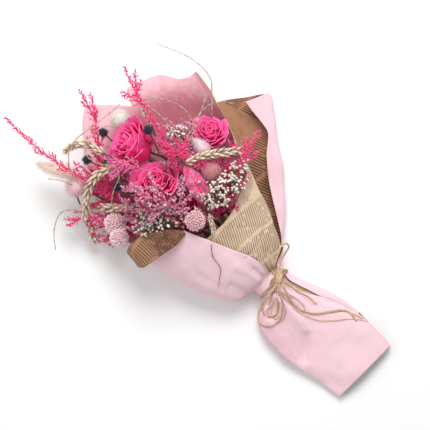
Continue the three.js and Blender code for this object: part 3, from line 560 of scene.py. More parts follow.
@cache
def print_group() -> bpy.types.NodeTree:
    """Builds columns of short dashes in close rows, like print seen from too far to read.

    Returns:
        The group.
    """
    inputs = {"Pitch": 3.0, "Dash": 1.8, "Column": 34.0, "Turn": 0.0, "Gaps": 0.07, "Weight": 0.22}
    graph, given = new_group("Dashed print", inputs, {"Ink": "NodeSocketFloat"})
    column_share, rows_in_block, blank_blocks, bold_blocks, bolder = 0.44, 13.0, 0.12, 0.84, 0.07
    flat = graph.add("ShaderNodeUVMap", uv_map="Sheet").outputs[0]
    turned_map = graph.add("ShaderNodeVectorRotate", {"Vector": flat, "Angle": given["Turn"]})
    across, down = graph.add("ShaderNodeSeparateXYZ", {0: turned_map.outputs[0]}).outputs[:2]
    rows = graph.math("DIVIDE", down, given["Pitch"])
    columns = graph.math("DIVIDE", across, given["Column"])
    dashes = graph.math("DIVIDE", across, given["Dash"])
    row, column, dash = (graph.math("FLOOR", value) for value in (rows, columns, dashes))
    block_row = graph.math("FLOOR", graph.math("DIVIDE", rows, rows_in_block))
    drawn, used = graph.random(dash, row), graph.random(column, block_row)
    inked = graph.math("GREATER_THAN", drawn, given["Gaps"])
    inside = graph.math("LESS_THAN", graph.from_middle(columns), column_share)
    filled = graph.math("GREATER_THAN", used, blank_blocks)
    bold = graph.math("MULTIPLY", graph.math("GREATER_THAN", used, bold_blocks), bolder)
    weight = graph.math("ADD", given["Weight"], bold)
    thick = graph.math("LESS_THAN", graph.from_middle(rows), weight)
    ink = graph.math("MULTIPLY", graph.math("MULTIPLY", inked, thick), graph.math("MULTIPLY", inside, filled))
    graph.add("NodeGroupOutput", {"Ink": ink})
    return graph.tree


@cache
def net_group() -> bpy.types.NodeTree:
    """Builds the net of fine veins of a skeleton leaf.

    Returns:
        The group.
    """
    graph, given = new_group("Vein net", {"Scale": 600.0, "Width": 0.16}, {"Vein": "NodeSocketFloat"})
    where = graph.add("ShaderNodeTexCoord").outputs["Object"]
    inputs = {"Vector": where, "Scale": given["Scale"]}
    edge = graph.add("ShaderNodeTexVoronoi", inputs, feature="DISTANCE_TO_EDGE").outputs["Distance"]
    vein = graph.math("LESS_THAN", edge, given["Width"])
    graph.add("NodeGroupOutput", {"Vein": vein})
    return graph.tree


class Pattern(Enum):
    """What a finish carries besides its two tones."""

    PLAIN = "plain"
    PRINT = "print"
    NET = "net"


@dataclass(frozen=True)
class Finish:
    """One finish: two tones, a tip colour, grain, relief and perhaps a pattern."""

    name: str
    light: Colour
    dark: Colour
    tip: Colour | None = None
    tip_start: float = 0.35
    rough: float = 0.85
    gloss: float = 0.25
    grain: float = 1.5
    spread: float = 0.35
    relief: float = 0.25
    sheen: float = 0.0
    pattern: Pattern = Pattern.PLAIN
    pattern_colour: Colour = (0, 0, 0)
    pattern_share: float = 0.8
    pattern_values: tuple[tuple[str, float], ...] = ()

    @cache
    def material(self) -> bpy.types.Material:
        """Gives the finish's material, made once.

        Returns:
            The material.
        """
        material = bpy.data.materials.new(self.name)
        material.use_nodes = True
        graph = Graph(material.node_tree)
        shader = material.node_tree.nodes["Principled BSDF"]
        shader.inputs["Roughness"].default_value = self.rough
        shader.inputs["Specular IOR Level"].default_value = self.gloss
        shader.inputs["Sheen Weight"].default_value = self.sheen
        inputs = {
            "Light": blender_colour(self.light), "Dark": blender_colour(self.dark),
            "Scale": 1000.0 / self.grain, "Spread": self.spread,
        }
        mottle = graph.add("ShaderNodeGroup", inputs, node_tree=mottle_group())
        colour = mottle.outputs["Colour"]
        if self.tip is not None:
            along = graph.add("ShaderNodeAttribute", attribute_name="along").outputs["Fac"]
            colour = graph.mix(graph.ramp(along, self.tip_start, 1.0), colour, blender_colour(self.tip))
        if self.pattern is not Pattern.PLAIN:
            tree = print_group() if self.pattern is Pattern.PRINT else net_group()
            mask = graph.add("ShaderNodeGroup", dict(self.pattern_values), node_tree=tree).outputs[0]
            share = graph.math("MULTIPLY", mask, self.pattern_share)
            colour = graph.mix(share, colour, blender_colour(self.pattern_colour))
        inputs = {"Height": mottle.outputs["Height"], "Distance": self.relief / 1000.0, "Strength": 1.0}
        bump = graph.add("ShaderNodeBump", inputs)
        material.node_tree.links.new(colour, shader.inputs["Base Color"])
        material.node_tree.links.new(bump.outputs[0], shader.inputs["Normal"])
        return material


PINK_PAPER = Finish(
    "Pink paper", (246, 210, 219), (220, 176, 190), rough=0.7, grain=1.2, spread=0.2, relief=0.05
)
# The inner paper's pink: a darker copy of the pink paper, whose deep dark end is painted shade.
PINK_PAPER_IN_PAINTED_SHADE = Finish(
    "Pink paper inside with painted shade", (250, 200, 209), (178, 103, 118), rough=0.75, grain=1.2, spread=0.2, relief=0.05
)
KRAFT_PAPER = Finish(
    "Printed kraft paper", (230, 204, 178), (206, 177, 149), grain=1.6, spread=0.4, relief=0.08,
    pattern=Pattern.PRINT, pattern_colour=(96, 72, 54), pattern_share=0.7,
    pattern_values=(
        ("Pitch", 2.7), ("Dash", 3.2), ("Column", 31.0), ("Turn", math.radians(-5)), ("Weight", 0.2),
    ),
)
# The outer paper's kraft face: a darker copy of the kraft paper, painted shade, with bolder print; its
# darkest end is the painted shade in the cuff.
BOLD_KRAFT_PAPER_IN_PAINTED_SHADE = Finish(
    "Boldly printed kraft paper with painted shade", (184, 136, 106), (98, 64, 46), grain=1.6, spread=0.4, relief=0.08,
    pattern=Pattern.PRINT, pattern_colour=(54, 36, 28), pattern_share=0.75,
    pattern_values=(
        ("Pitch", 3.4), ("Dash", 3.4), ("Column", 24.0), ("Turn", math.radians(-24)), ("Weight", 0.2),
    ),
)
PAPER_EDGE = Finish("Paper edge", (196, 160, 124), (168, 130, 96), grain=1.0)
JUTE = Finish("Jute twine", (232, 200, 172), (152, 116, 90), grain=0.6, spread=0.4, relief=0.2, rough=0.95)
STRAW = Finish("Straw stems", (150, 136, 92), (84, 72, 48), grain=2.0, spread=0.5)
ROSE = Finish(
    "Rose petals", (255, 76, 156), (246, 32, 112), tip=(255, 118, 184), rough=0.7, grain=1.3, relief=0.3,
)
CRIMSON_PETAL = Finish(
    "Crimson petals", (206, 28, 84), (124, 8, 46), tip=(232, 52, 110), grain=1.2, relief=0.25
)
CALYX = Finish("Dry calyx", (124, 112, 74), (76, 66, 44))
SKELETON_LEAF = Finish(
    "Skeleton leaf", (222, 152, 176), (168, 108, 126), grain=4.0, spread=0.6, pattern=Pattern.NET,
    pattern_colour=(255, 62, 142), pattern_share=0.9, pattern_values=(("Scale", 380.0), ("Width", 0.09)),
)
LEAF_RIB = Finish("Leaf rib", (255, 56, 136), (216, 30, 100), grain=2.0)
WHEAT = Finish(
    "Wheat", (236, 211, 186), (154, 124, 102), tip=(246, 231, 213), grain=1.2, spread=0.45, relief=0.2,
)
CREAM_TAIL = Finish("Cream tail", (255, 252, 246), (255, 240, 230), tip=(255, 255, 252))
DUSTY_TAIL = Finish("Dusty pink tail", (255, 226, 232), (255, 200, 210), tip=(255, 244, 246))
WHITE_TAIL = Finish("White tail", (255, 236, 242), (252, 208, 220), tip=(255, 250, 252))
GLOBE = Finish("Globe florets", (240, 194, 200), (208, 148, 158), tip=(250, 216, 218), sheen=0.2)
PALE_GLOBE = Finish("Pale globe florets", (255, 214, 220), (236, 174, 184), tip=(255, 236, 240), sheen=0.3)
PEACH_PLUME = Finish("Peach plume", (255, 240, 228), (255, 222, 208), tip=(255, 250, 244))
ROSY_TAIL = Finish("Rosy tail", (230, 162, 168), (192, 122, 130), tip=(240, 186, 188), sheen=0.2)
THISTLE = Finish("Blue thistle", (82, 78, 98), (34, 30, 44), tip=(122, 120, 138), grain=1.0)
SAGE = Finish("Sage thistle", (136, 140, 130), (70, 76, 70), tip=(176, 178, 166), grain=1.0)
PINK_GRASS = Finish(
    "Pink grass", (255, 84, 150), (228, 30, 100), tip=(255, 134, 184), grain=1.4, spread=0.4
)
PALE_GRASS = Finish(
    "Pale pink grass", (255, 128, 184), (232, 76, 140), tip=(255, 178, 212), grain=1.4, spread=0.4
)
CRIMSON_GRASS = Finish(
    "Crimson grass", (248, 68, 130), (176, 22, 76), tip=(255, 100, 160), grain=1.4, spread=0.4
)
LAVENDER = Finish("Mauve sea lavender", (255, 160, 200), (212, 62, 112), tip=(255, 208, 226), grain=1.0)
BABYS_BREATH = Finish("White florets", (255, 244, 226), (240, 216, 186), tip=(255, 250, 238), grain=0.8)
PALE_STALK = Finish("Pale stalks", (138, 118, 90), (78, 62, 46))
TWIG = Finish("Curly twigs", (204, 190, 166), (136, 120, 98), grain=1.2, spread=0.45)
LOOSE_THREAD = Finish("Loose thread", (192, 150, 110), (144, 106, 78), grain=0.8)


# Papers


@dataclass(frozen=True)
class WrapForm:
    """The closed outline that both papers follow across the bouquet, from station to station."""

    centre: float = -2.0
    flat_angle: float = 40.0
    flat_share: float = 0.62
    side_height: float = 0.45
    neck_end: float = 7.0
    shared_end: float = 76.0
    stations: tuple = (
        (-130, -43, 32, 10), (-95, -44, 38, 14), (-57, -39, 44, 20), (-30, -28, 42, 24), (-14, -22, 33, 26),
        (-7, -20, 17, 26), (7, -20, 17, 26), (12, -25, 37, 33), (22, -36, 47, 40), (35, -43, 53, 47),
        (56, -53, 62, 54), (76, -60, 67, 62), (120, -76, 77, 74), (205, -105, 95, 88), (260, -122, 106, 96),
    )

    def rows(self) -> list[float]:
        """Gives the stations that both papers share."""
        return [float(row[0]) for row in self.stations if row[0] <= self.shared_end]

    def edges_at(self, x: float) -> tuple[float, float, float]:
        """Gives the right edge, left edge and height at a station."""
        return tuple(stepped(self.stations, x))

    def outline(self, angle: float) -> tuple[float, float]:
        """Gives the share across and the share up of one angle of the outline.

        Args:
            angle: 0 under the middle, 180 on top, negative to the right.

        Returns:
            The share across, from -1 to 1, and the share up, from 0 to 1.
        """
        turn = abs(angle)
        beyond = turn > 180
        folded = 360 - turn if beyond else turn
        sign = 1 if (angle < 0) == beyond else -1
        if folded <= self.flat_angle:
            return sign * self.flat_share * folded / self.flat_angle, 0.0
        swing = math.radians((folded - self.flat_angle) / (180 - self.flat_angle) * 180)
        if swing < math.pi / 2:
            across = self.flat_share + (1 - self.flat_share) * math.sin(swing)
            return sign * across, self.side_height * (1 - math.cos(swing))
        return sign * math.sin(swing), self.side_height - (1 - self.side_height) * math.cos(swing)

    def point(self, angle: float, x: float, inset: float, floor: float) -> Points:
        """Gives a point on the wrap.

        Args:
            angle: 0 under the middle, 180 on top, negative to the right.
            x: The station.
            inset: How far inside the outer paper's own line it lies.
            floor: The height of the flat underside.

        Returns:
            The point.
        """
        right, left, height = self.edges_at(x)
        across, up = self.outline(angle)
        reach = left - inset - self.centre if across > 0 else self.centre - right - inset
        return np.array([x, self.centre + across * reach, floor + up * (height - inset - floor)])

    def off_centre(self, x: float, y: float) -> tuple[float, float]:
        """Gives the wrap's height at a station and how far from its middle line a point lies.

        Args:
            x: The station.
            y: The point's place across it.

        Returns:
            The height in millimetres, and the distance as a share of the way to the edge.
        """
        right, left, height = self.edges_at(x)
        reach = left - self.centre if y > self.centre else self.centre - right
        return height, min(1.0, abs(y - self.centre) / reach)

    def top(self, x: float, y: float) -> float:
        """Gives the height of the wrap's upper face over a point."""
        height, across = self.off_centre(x, y)
        return height * (self.side_height + (1 - self.side_height) * math.sqrt(1 - across * across))

    def bottom(self, x: float, y: float) -> float:
        """Gives the height of the wrap's lower side under a point.

        Args:
            x: The station.
            y: The point's place across it.

        Returns:
            The height in millimetres.
        """
        height, across = self.off_centre(x, y)
        bulge = max(0.0, across - self.flat_share) / (1 - self.flat_share)
        return height * self.side_height * (1 - math.sqrt(max(0.0, 1 - bulge * bulge)))


def stepped(table: tuple, x: float) -> list[float]:
    """Reads a table of rows at x, in a straight line between its rows."""
    keys = [row[0] for row in table]
    return [float(np.interp(x, keys, [row[i] for row in table])) for i in range(1, len(table[0]))]


FORM = WrapForm()


@dataclass(frozen=True)
class Crease:
    """A straight fold line pressed into the papers, steep on its right and slower to rise on its left."""

    start: tuple[float, float]
    end: tuple[float, float]
    depth: float = 0.7
    width: float = 1.4
    far: float = 6.0

    def press(self, grid: Points) -> Points:
        """Gives how far the crease pushes each point of a grid.

        Args:
            grid: The points.

        Returns:
            One height for each point, negative where it is pressed in.
        """
        start, end = np.array(self.start), np.array(self.end)
        run = end - start
        plan = grid[..., :2] - start
        share = np.clip(plan @ run / (run @ run), 0, 1)
        distance = np.linalg.norm(plan - share[..., None] * run, axis=-1)
        left = run[0] * plan[..., 1] - run[1] * plan[..., 0] > 0
        fade = smoothstep(share, 0.0, 0.15) * (1 - smoothstep(share, 0.85, 1.0))
        return -self.depth * np.exp(-distance / np.where(left, self.far, self.width)) * fade


CREASES = (
    Crease((72, -5), (45, -36), 1.3, 1.2, 3.0), Crease((48, -42), (35, -12), 1.2, 1.2, 3.0),
    Crease((38, -20), (36, 4), 1.2, 1.2, 3.0), Crease((90, -58), (52, -42), 1.1, 1.4, 4.0),
    Crease((6, 22), (32, 31), 2.0, 2.0, 6.0), Crease((8, 8), (38, 18), 0.8, 1.8, 6.0),
    Crease((28, 36), (62, 46), 0.8, 2.4, 7.0), Crease((8, -2), (26, 2), 1.2, 1.4, 4.0),
    Crease((-4, -10), (-64, -31), 2.8, 1.8, 7.0), Crease((-40, -24), (-82, -41), 3.6, 1.6, 3.0),
    Crease((-12, 1), (-44, 2), 1.8, 1.8, 6.0), Crease((-7, 10), (-24, 32), 1.4, 1.8, 6.0),
    Crease((-8, -6), (-56, -16), 2.2, 1.8, 6.0), Crease((-58, 8), (-82, 36), 2.4, 3.0, 8.0),
    Crease((-66, 30), (-120, 10), 1.0, 2.4, 9.0),
)


@dataclass(frozen=True)
class Facet:
    """The part of the tail that its main fold pulls flat, from the fold's ridge to the left side."""

    ridge: float = 6.0
    side: float = 42.0
    near: float = -6.0
    far: float = -60.0
    slant: float = 0.7
    depth: float = 5.4

    def press(self, grid: Points) -> Points:
        """Gives how far the fold pushes each point of a grid.

        Args:
            grid: The points.

        Returns:
            One height for each point, negative where it is pressed in.
        """
        x, y = grid[..., 0], grid[..., 1]
        bulge = np.sin(math.pi * np.clip((y - self.ridge) / (self.side - self.ridge), 0, 1))
        beyond = self.far - self.slant * (y - self.ridge) - x
        window = (1 - smoothstep(beyond, 0.0, 7.0)) * (1 - smoothstep(x, self.near - 12, self.near))
        return -self.depth * bulge * window


TAIL_FACET = Facet()


@dataclass(frozen=True)
class Relief:
    """The waves and pleats in both papers, which fade towards the flat underside.

    A wave is given as its height and its length.
    """

    broad_wave: tuple[float, float] = (0.8, 46.0)
    fine_wave: tuple[float, float] = (0.3, 17.0)
    pleat_depth: float = 1.5
    pleat_run: float = 22.0
    pleat_count: int = 7
    pleat_start: float = 5.0
    flat_under: tuple[float, float] = (1.5, 9.0)
    uncreased_under: tuple[float, float] = (8.0, 14.0)

    def middle_height(self, grid: Points) -> Points:
        """Gives half the height of the wrap at each point of a grid."""
        return np.interp(grid[..., 0], *np.array(FORM.stations, float).T[[0, 3]]) / 2

    def pleats(self, grid: Points) -> Points:
        """Gives how far the pleats that radiate from the tie push each point of a grid.

        Args:
            grid: The points.

        Returns:
            One height for each point.
        """
        around = np.arctan2(grid[..., 2] - self.middle_height(grid), grid[..., 1] - FORM.centre)
        ridges = 1 - 2 * np.abs(np.sin(self.pleat_count * around + 1.6 * np.sin(3 * around + 0.7)))
        away = np.maximum(0, np.abs(grid[..., 0]) - FORM.neck_end)
        fade = np.exp(-away / self.pleat_run) * smoothstep(away, 0, self.pleat_start)
        return self.pleat_depth * ridges * fade

    def push(self, grid: Points) -> Points:
        """Gives how far the waves, the pleats and the creases push the papers out.

        Args:
            grid: The points.

        Returns:
            One height for each point.
        """
        broad, fine = self.broad_wave, self.fine_wave
        waves = broad[0] * ripple(grid, broad[1], 3) + fine[0] * ripple(grid, fine[1], 4) + self.pleats(grid)
        pressed = np.minimum.reduce([crease.press(grid) for crease in CREASES]) + TAIL_FACET.press(grid)
        pushed = waves + pressed * smoothstep(grid[..., 2], *self.uncreased_under)
        return pushed * smoothstep(grid[..., 2], *self.flat_under)


RELIEF = Relief()


def on_paper(x: float, y: float, lift: float) -> Points:
    """Gives the point at a height over the creased papers."""
    top = np.array([x, y, FORM.top(x, y)])
    return top + [0.0, 0.0, float(RELIEF.push(top[None])[0]) + lift]


@dataclass
class Paper:
    """What the two papers share: a coarse grid of points that becomes a fine, creased, two-faced sheet."""

    name: str
    node: str
    slot: str
    thickness: float = 0.7
    kraft: Finish = KRAFT_PAPER
    pink: Finish = PINK_PAPER
    row_steps: int = 11
    column_steps: int = 8
    straight: float = 0.6
    row_pitch: float = 1.5
    sink: float = 0.0

    def grid(self) -> Points:
        """Gives the coarse grid. Each paper has its own."""
        raise NotImplementedError

    def tones(self, grid: Points) -> Points:
        """Gives the painted light and shade of the sheet at each point of the grid. Each paper has its own.
        """
        raise NotImplementedError

    def creased(self, grid: Points) -> Points:
        """Pushes a smooth sheet into waves, pleats and creases, and leaves its flat underside flat.

        Args:
            grid: The smooth sheet.

        Returns:
            The creased sheet.
        """
        normals = grid_normals(grid)
        middle = [grid[..., 0], np.full(grid.shape[:2], FORM.centre), RELIEF.middle_height(grid)]
        outward = np.sign(np.sum(normals * (grid - np.stack(middle, axis=-1))))
        return grid + normals * outward * (RELIEF.push(grid) - self.sink)[..., None]

    def build(self) -> Piece:
        """Builds the sheet, kraft on one face and pink on the other, with a flat map in millimetres.

        Returns:
            The piece.
        """
        coarse = self.grid()
        smooth = smoothed(coarse, self.row_steps, 0)
        smooth = smoothed(smooth, self.column_steps, 1, keep_corners=self.straight)
        grid = self.creased(even_rows(smooth, self.row_pitch))
        front, back, border = sheet_faces(*grid.shape[:2])
        shape = Shape(self.name)
        # The tones are the sheet's painted light and shade.
        shape.add((two_sides(grid, self.thickness), front), 0, tone=np.tile(self.tones(grid).reshape(-1), 2))
        shape.add_faces(back, 1)
        shape.add_faces(border, 2)
        piece = shape.build([self.kraft.material(), self.pink.material(), PAPER_EDGE.material()])
        self.lay_flat(piece, grid)
        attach(piece, "root")
        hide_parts(self.node)
        return piece

    def lay_flat(self, piece: Piece, grid: Points) -> None:
        """Adds the map that the print is read from: each point's place on the paper laid flat.

        Args:
            piece: The sheet's piece.
            grid: The points of its middle.
        """
        along = np.cumsum(np.linalg.norm(np.diff(grid, axis=0, prepend=grid[:1]), axis=2), axis=0)
        across = np.cumsum(np.linalg.norm(np.diff(grid, axis=1, prepend=grid[:, :1]), axis=2), axis=1)
        middle = across[:, across.shape[1] // 2][:, None]
        flat = np.tile(np.stack([along, across - middle], axis=-1).reshape(-1, 2), (2, 1))
        layer = piece.data.uv_layers.new(name="Sheet")
        corners = np.empty(len(piece.data.loops), dtype=np.int32)
        piece.data.loops.foreach_get("vertex_index", corners)
        layer.data.foreach_set("uv", flat[corners].astype(np.float32).ravel())


@dataclass
class InnerPaper(Paper):
    """The inner paper: pink inside, kraft outside, its right side folded over the front as a cone."""

    columns: tuple = (
        (85, 134), (70, 158), (55, 184), (40, 207), (22, 236), (5, 260), (-15, 226), (-20, 243), (-40, 229),
        (-55, 213), (-70, 206), (-85, 205), (-100, 172), (-115, 132), (-130, 96), (-145, 88), (-160, 80),
        (-175, 77), (-190, 78), (-208, 80),
    )
    tail: float = -122.0
    tail_start: float = -14.0
    tail_inset: float = 0.016
    upper_rows: tuple = (0.36, 0.7, 1.0)
    sink: float = 0.6
    # The place where the painted shade on the inner paper is darkest.
    darkest: tuple = (165.0, -30.0)
    wrapped_tone: float = 0.6

    def tones(self, grid: Points) -> Points:
        """Gives the sheet's painted shade: darkest behind the flowers, where they would shade it, and
        lightest at its rim.

        Args:
            grid: The sheet's points.

        Returns:
            One tone for each point, from 0 to 1.
        """
        across = grid[..., 1] - self.darkest[1]
        away = np.hypot(grid[..., 0] - self.darkest[0], np.where(across < 0, 1.0, 0.6) * across)
        # Painted shade, darkest behind the flowers and fading towards the rim.
        inside = 0.05 + 0.8 * smoothstep(away, 38.0, 76.0)
        opened = smoothstep(grid[..., 0], 96.0, 122.0)
        return inside * opened + self.wrapped_tone * (1 - opened)

    def grid(self) -> Points:
        """Gives the inner paper's coarse grid.

        Returns:
            The rows, from the tail to the rim.
        """
        floor = PAPER * 1.5 + LAYER_GAP
        base = 2 * LAYER_GAP + PAPER
        rows = []
        for x in FORM.rows():
            at = max(x, self.tail)
            inset = base + self.tail_inset * max(0.0, self.tail_start - at)
            rows.append([FORM.point(angle, at, inset, floor) for angle, _ in self.columns])
        for share in self.upper_rows:
            rows.append([
                FORM.point(angle, FORM.shared_end + (reach - FORM.shared_end) * share, base, floor)
                for angle, reach in self.columns
            ])
        return np.array(rows)


@dataclass(frozen=True)
class Column:
    """One lengthwise line of the outer paper and what it does: hem, panel, back or flap."""

    reach: float
    angle: float = 0.0
    over: float | None = None
    lift: float = 0.0
    out: float | None = None
    share: float | None = None
    cuff: float = 0.0


@dataclass
class OuterPaper(Paper):
    """The outer paper: kraft inside, pink outside, with a flap, a turned-back cuff and a spread hem."""

    hem_edge: tuple = (
        (7, -22, 0.5), (22, -41, 4), (41, -61, 11), (70, -87, 20), (100, -109, 17), (118, -122.5, 11),
        (127, -129, 19), (136, -135, 26), (156, -140, 28),
    )
    hem_rise: float = 0.06
    hem_fold: float = 9.0
    columns: tuple = (
        Column(148, -140, over=1, lift=1.25), Column(143, -130, over=0.55, lift=1.2),
        Column(138, -115, over=0.12, lift=0.9), Column(134, -100, over=0, lift=0.45),
        Column(138, -85, over=0.15, lift=0.08), Column(152, -70, out=0.7), Column(170, -55, out=0.35),
        Column(170, -40), Column(168, -15), Column(164, 10), Column(150, 40), Column(132, 55),
        Column(123, 70), Column(120, 85, cuff=3), Column(121, 100, cuff=8), Column(124, 115, cuff=16),
        Column(126, 130, cuff=24), Column(124, 145, cuff=25), Column(119, share=0.34, cuff=22),
        Column(112, share=0.67, cuff=17), Column(100, share=1, cuff=4),
    )
    flap_edge: tuple = (
        (-130, 232), (-95, 232), (-57, 222), (-30, 206), (-7, 193), (7, 190), (35, 182), (56, 175), (76, 170),
        (100, 164),
    )
    last_back_angle: float = 145.0
    cuff_height: float = 8.0
    full_cuff: float = 24.0
    flap_lift: float = 1.0
    hem_start: float = -92.0
    hem_slid: float = 17.0
    hem_spread: tuple = (13, 35)
    hem_full: float = 8.0
    hem_ends: tuple = (0.86, 0.93)
    strip_tail: float = -84.0
    outer_tail: float = -130.0
    outer_rows: tuple = (0.3, 0.6, 1.0)

    def tones(self, grid: Points) -> Points:
        """Gives the sheet's painted light and shade: lighter on the tail, the flap and the hem, darker on the
        left side of the tail and dark in the cuff.

        Args:
            grid: The sheet's points.

        Returns:
            One tone for each point, from 0 to 1.
        """
        x, y = grid[..., 0], grid[..., 1]
        down = np.linspace(0, 1, len(grid))[:, None]
        tail = 1 - smoothstep(x, -30.0, 20.0)
        left = smoothstep(y, 6.0, 40.0) * smoothstep(x, -90.0, -60.0)
        flap = smoothstep(x, 0.0, 14.0) * smoothstep(y, -2.0, 8.0)
        hem = 1 - smoothstep(y, -52.0, -38.0)
        cuff = smoothstep(down, 0.86, 0.9) * smoothstep(y, 0.0, 20.0) * (1 - 1.5 * smoothstep(y, 50.0, 72.0))
        # Painted light on the tail, the flap and the hem; painted shade on the tail's left side and deep in
        # the cuff.
        return 0.68 + tail * (0.16 - 0.44 * left) + 0.24 * flap + 0.12 * hem - 0.6 * cuff

    def hem_point(self, column: Column, x: float) -> Points:
        """Gives a point of the hem or of the panel beside it.

        Args:
            column: The column.
            x: The station.

        Returns:
            The point.
        """
        neck = FORM.neck_end
        slid = smoothstep(x, neck, self.hem_slid)
        angle = column.angle * (1 - slid) + max(column.angle, self.hem_start) * slid
        loop = FORM.point(angle, x, -slid, PAPER / 2)
        edge, width = stepped(self.hem_edge, x)
        rise = PAPER / 2 + self.hem_rise * max(0.0, x - neck)
        if column.out is not None:
            foot = FORM.point(-FORM.flat_angle, x, 0, PAPER / 2)
            y = foot[1] + (edge - foot[1]) * column.out
            spread = np.array([x, y, PAPER / 2 + (rise - PAPER / 2) * column.out**2])
        else:
            fold = self.hem_fold * min(1.0, width / self.hem_full)
            spread = np.array([x, edge + width * column.over, rise + fold * column.lift])
        return loop + (spread - loop) * smoothstep(x, *self.hem_spread)

    def point(self, column: Column, x: float) -> Points:
        """Gives the point of a column at x.

        Args:
            column: The column.
            x: The station.

        Returns:
            The point.
        """
        if column.over is not None or column.out is not None:
            return self.hem_point(column, x)
        if column.share is None:
            return FORM.point(column.angle, x, 0, PAPER / 2)
        edge = stepped(self.flap_edge, x)[0]
        angle = self.last_back_angle + (edge - self.last_back_angle) * column.share
        return FORM.point(angle, x, -self.flap_lift * column.share, PAPER / 2)

    def tail_point(self, column: Column, x: float) -> Points:
        """Gives the point of a column in the shared rows, with the hem's own columns cut short.

        Args:
            column: The column.
            x: The station.

        Returns:
            The point.
        """
        short = column.over is not None and column.angle < -90 and x < -FORM.neck_end
        scale = (self.strip_tail + FORM.neck_end) / (self.outer_tail + FORM.neck_end)
        return self.point(column, -FORM.neck_end + (x + FORM.neck_end) * scale if short else x)

    def turned_back(self, column: Column, along: float, out: float) -> Points:
        """Gives a point of the cuff, moved along x and away from the middle of the wrap.

        Args:
            column: The column.
            along: How far it is moved along x.
            out: How far it is moved outward.

        Returns:
            The point.
        """
        top = self.point(column, column.reach - 3) - np.array([0, FORM.centre, 30])
        away = unit(top * [0, 1, 1])
        point = self.point(column, column.reach)
        point[0] = column.reach + along
        return point + away * out

    def grid(self) -> Points:
        """Gives the outer paper's coarse grid.

        Returns:
            The rows, from the tail to the rim.
        """
        rows = [[self.tail_point(column, x) for column in self.columns] for x in FORM.rows()]
        end = FORM.shared_end
        for share in self.outer_rows:
            ends = [1 if column.cuff else self.hem_ends[0] for column in self.columns]
            rows.append([
                self.point(column, end + (column.reach - end) * share * last)
                for column, last in zip(self.columns, ends)
            ])
        crest, lip = [], []
        for column in self.columns:
            if column.cuff:
                size = min(1.0, column.cuff / self.full_cuff)
                crest.append(self.turned_back(column, 2 * size, self.cuff_height * 0.5 * size))
                lip.append(self.turned_back(column, -column.cuff, self.cuff_height * size))
            else:
                crest.append(self.point(column, end + (column.reach - end) * self.hem_ends[1]))
                lip.append(self.point(column, column.reach))
        return np.array([*rows, crest, lip])


# Twine


@dataclass
class LooseTwine:
    """One free run of the bow's twine: a loop or an end that lies on the papers."""

    name: str
    route: tuple
    far_end: str
    step: float = 0.6
    sides: int = 9
    spread: float = 0.5
    seed: int = 1

    def line(self) -> Points:
        """Gives the centre line of the run."""
        knots = [on_paper(x, y, lift + TWINE / 2) for x, y, lift in self.route]
        return spline(knots, self.step)

    def build(self) -> Piece:
        """Returns:
            The piece.
        """
        line = self.line()
        shape = Shape(f"jute_{self.name}")
        for i, strand in enumerate(parted(line, 3, self.spread, self.far_end == "bare", self.seed)):
            shape.add(tube(strand, STRAND / 2, self.sides, plies=0.3), tone=0.5 + 0.14 * i)
            shape.add(fibres(strand, STRAND / 2, 0.5, self.seed + 10 * i), tone=0.9)
        piece = shape.build([JUTE.material()])
        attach(piece, "root")
        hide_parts(self.name)
        run_length(line) / 1000
        return piece


def parted(line: Points, count: int, spread: float, open_end: bool, seed: int) -> list[Points]:
    """Parts a twine into thin strands that lie side by side and wander a little.

    Args:
        line: The twine's centre line.
        count: How many strands there are.
        spread: How far apart they lie where they part most.
        open_end: Whether they stay apart at the far end.
        seed: Which random draw they follow.

    Returns:
        One line for each strand.
    """
    share = np.linspace(0, 1, len(line))
    side = unit(np.cross([0.0, 0.0, 1.0], np.gradient(line, axis=0)))
    swell = np.sin(math.pi * share * (0.55 if open_end else 1.0)) ** 0.6
    strands = []
    for k in range(count):
        offset = (k - (count - 1) / 2) * spread * swell + 0.2 * ripple(line, 14.0, seed + 30 * k) * swell
        strand = line + side * offset[:, None]
        strand[:, 2] += 0.35 * (k % 2) - 0.3
        strands.append(strand)
    return strands


def fibres(line: Points, radius: float, count_per_mm: float, seed: int) -> Solid:
    """Sets loose fibres along a twine.

    Args:
        line: The twine's centre line.
        radius: The twine's radius.
        count_per_mm: How many fibres there are for each millimetre.
        seed: Which random draw they follow.

    Returns:
        The points and faces of all the fibres.
    """
    draw = np.random.default_rng(seed)
    count = max(4, int(run_length(line) * count_per_mm))
    at = draw.integers(1, len(line) - 1, count)
    frames = carried_frames(line)[at]
    angle = draw.uniform(0, 2 * math.pi, count)[:, None]
    out = frames[:, 1] * np.cos(angle) + frames[:, 2] * np.sin(angle)
    lean = frames[:, 0] * draw.uniform(-1.6, 1.6, count)[:, None]
    places = line[at] + out * radius * 0.8
    sizes = np.column_stack([draw.uniform(0.4, 0.9, count), np.full(count, 0.16), np.full(count, 0.16)])
    points, faces = scattered(turned(HAIR_FORM, 3), places, frames_along(out + lean, angle[:, 0]), sizes)
    return np.maximum(points, [-np.inf, -np.inf, 0.05]), faces


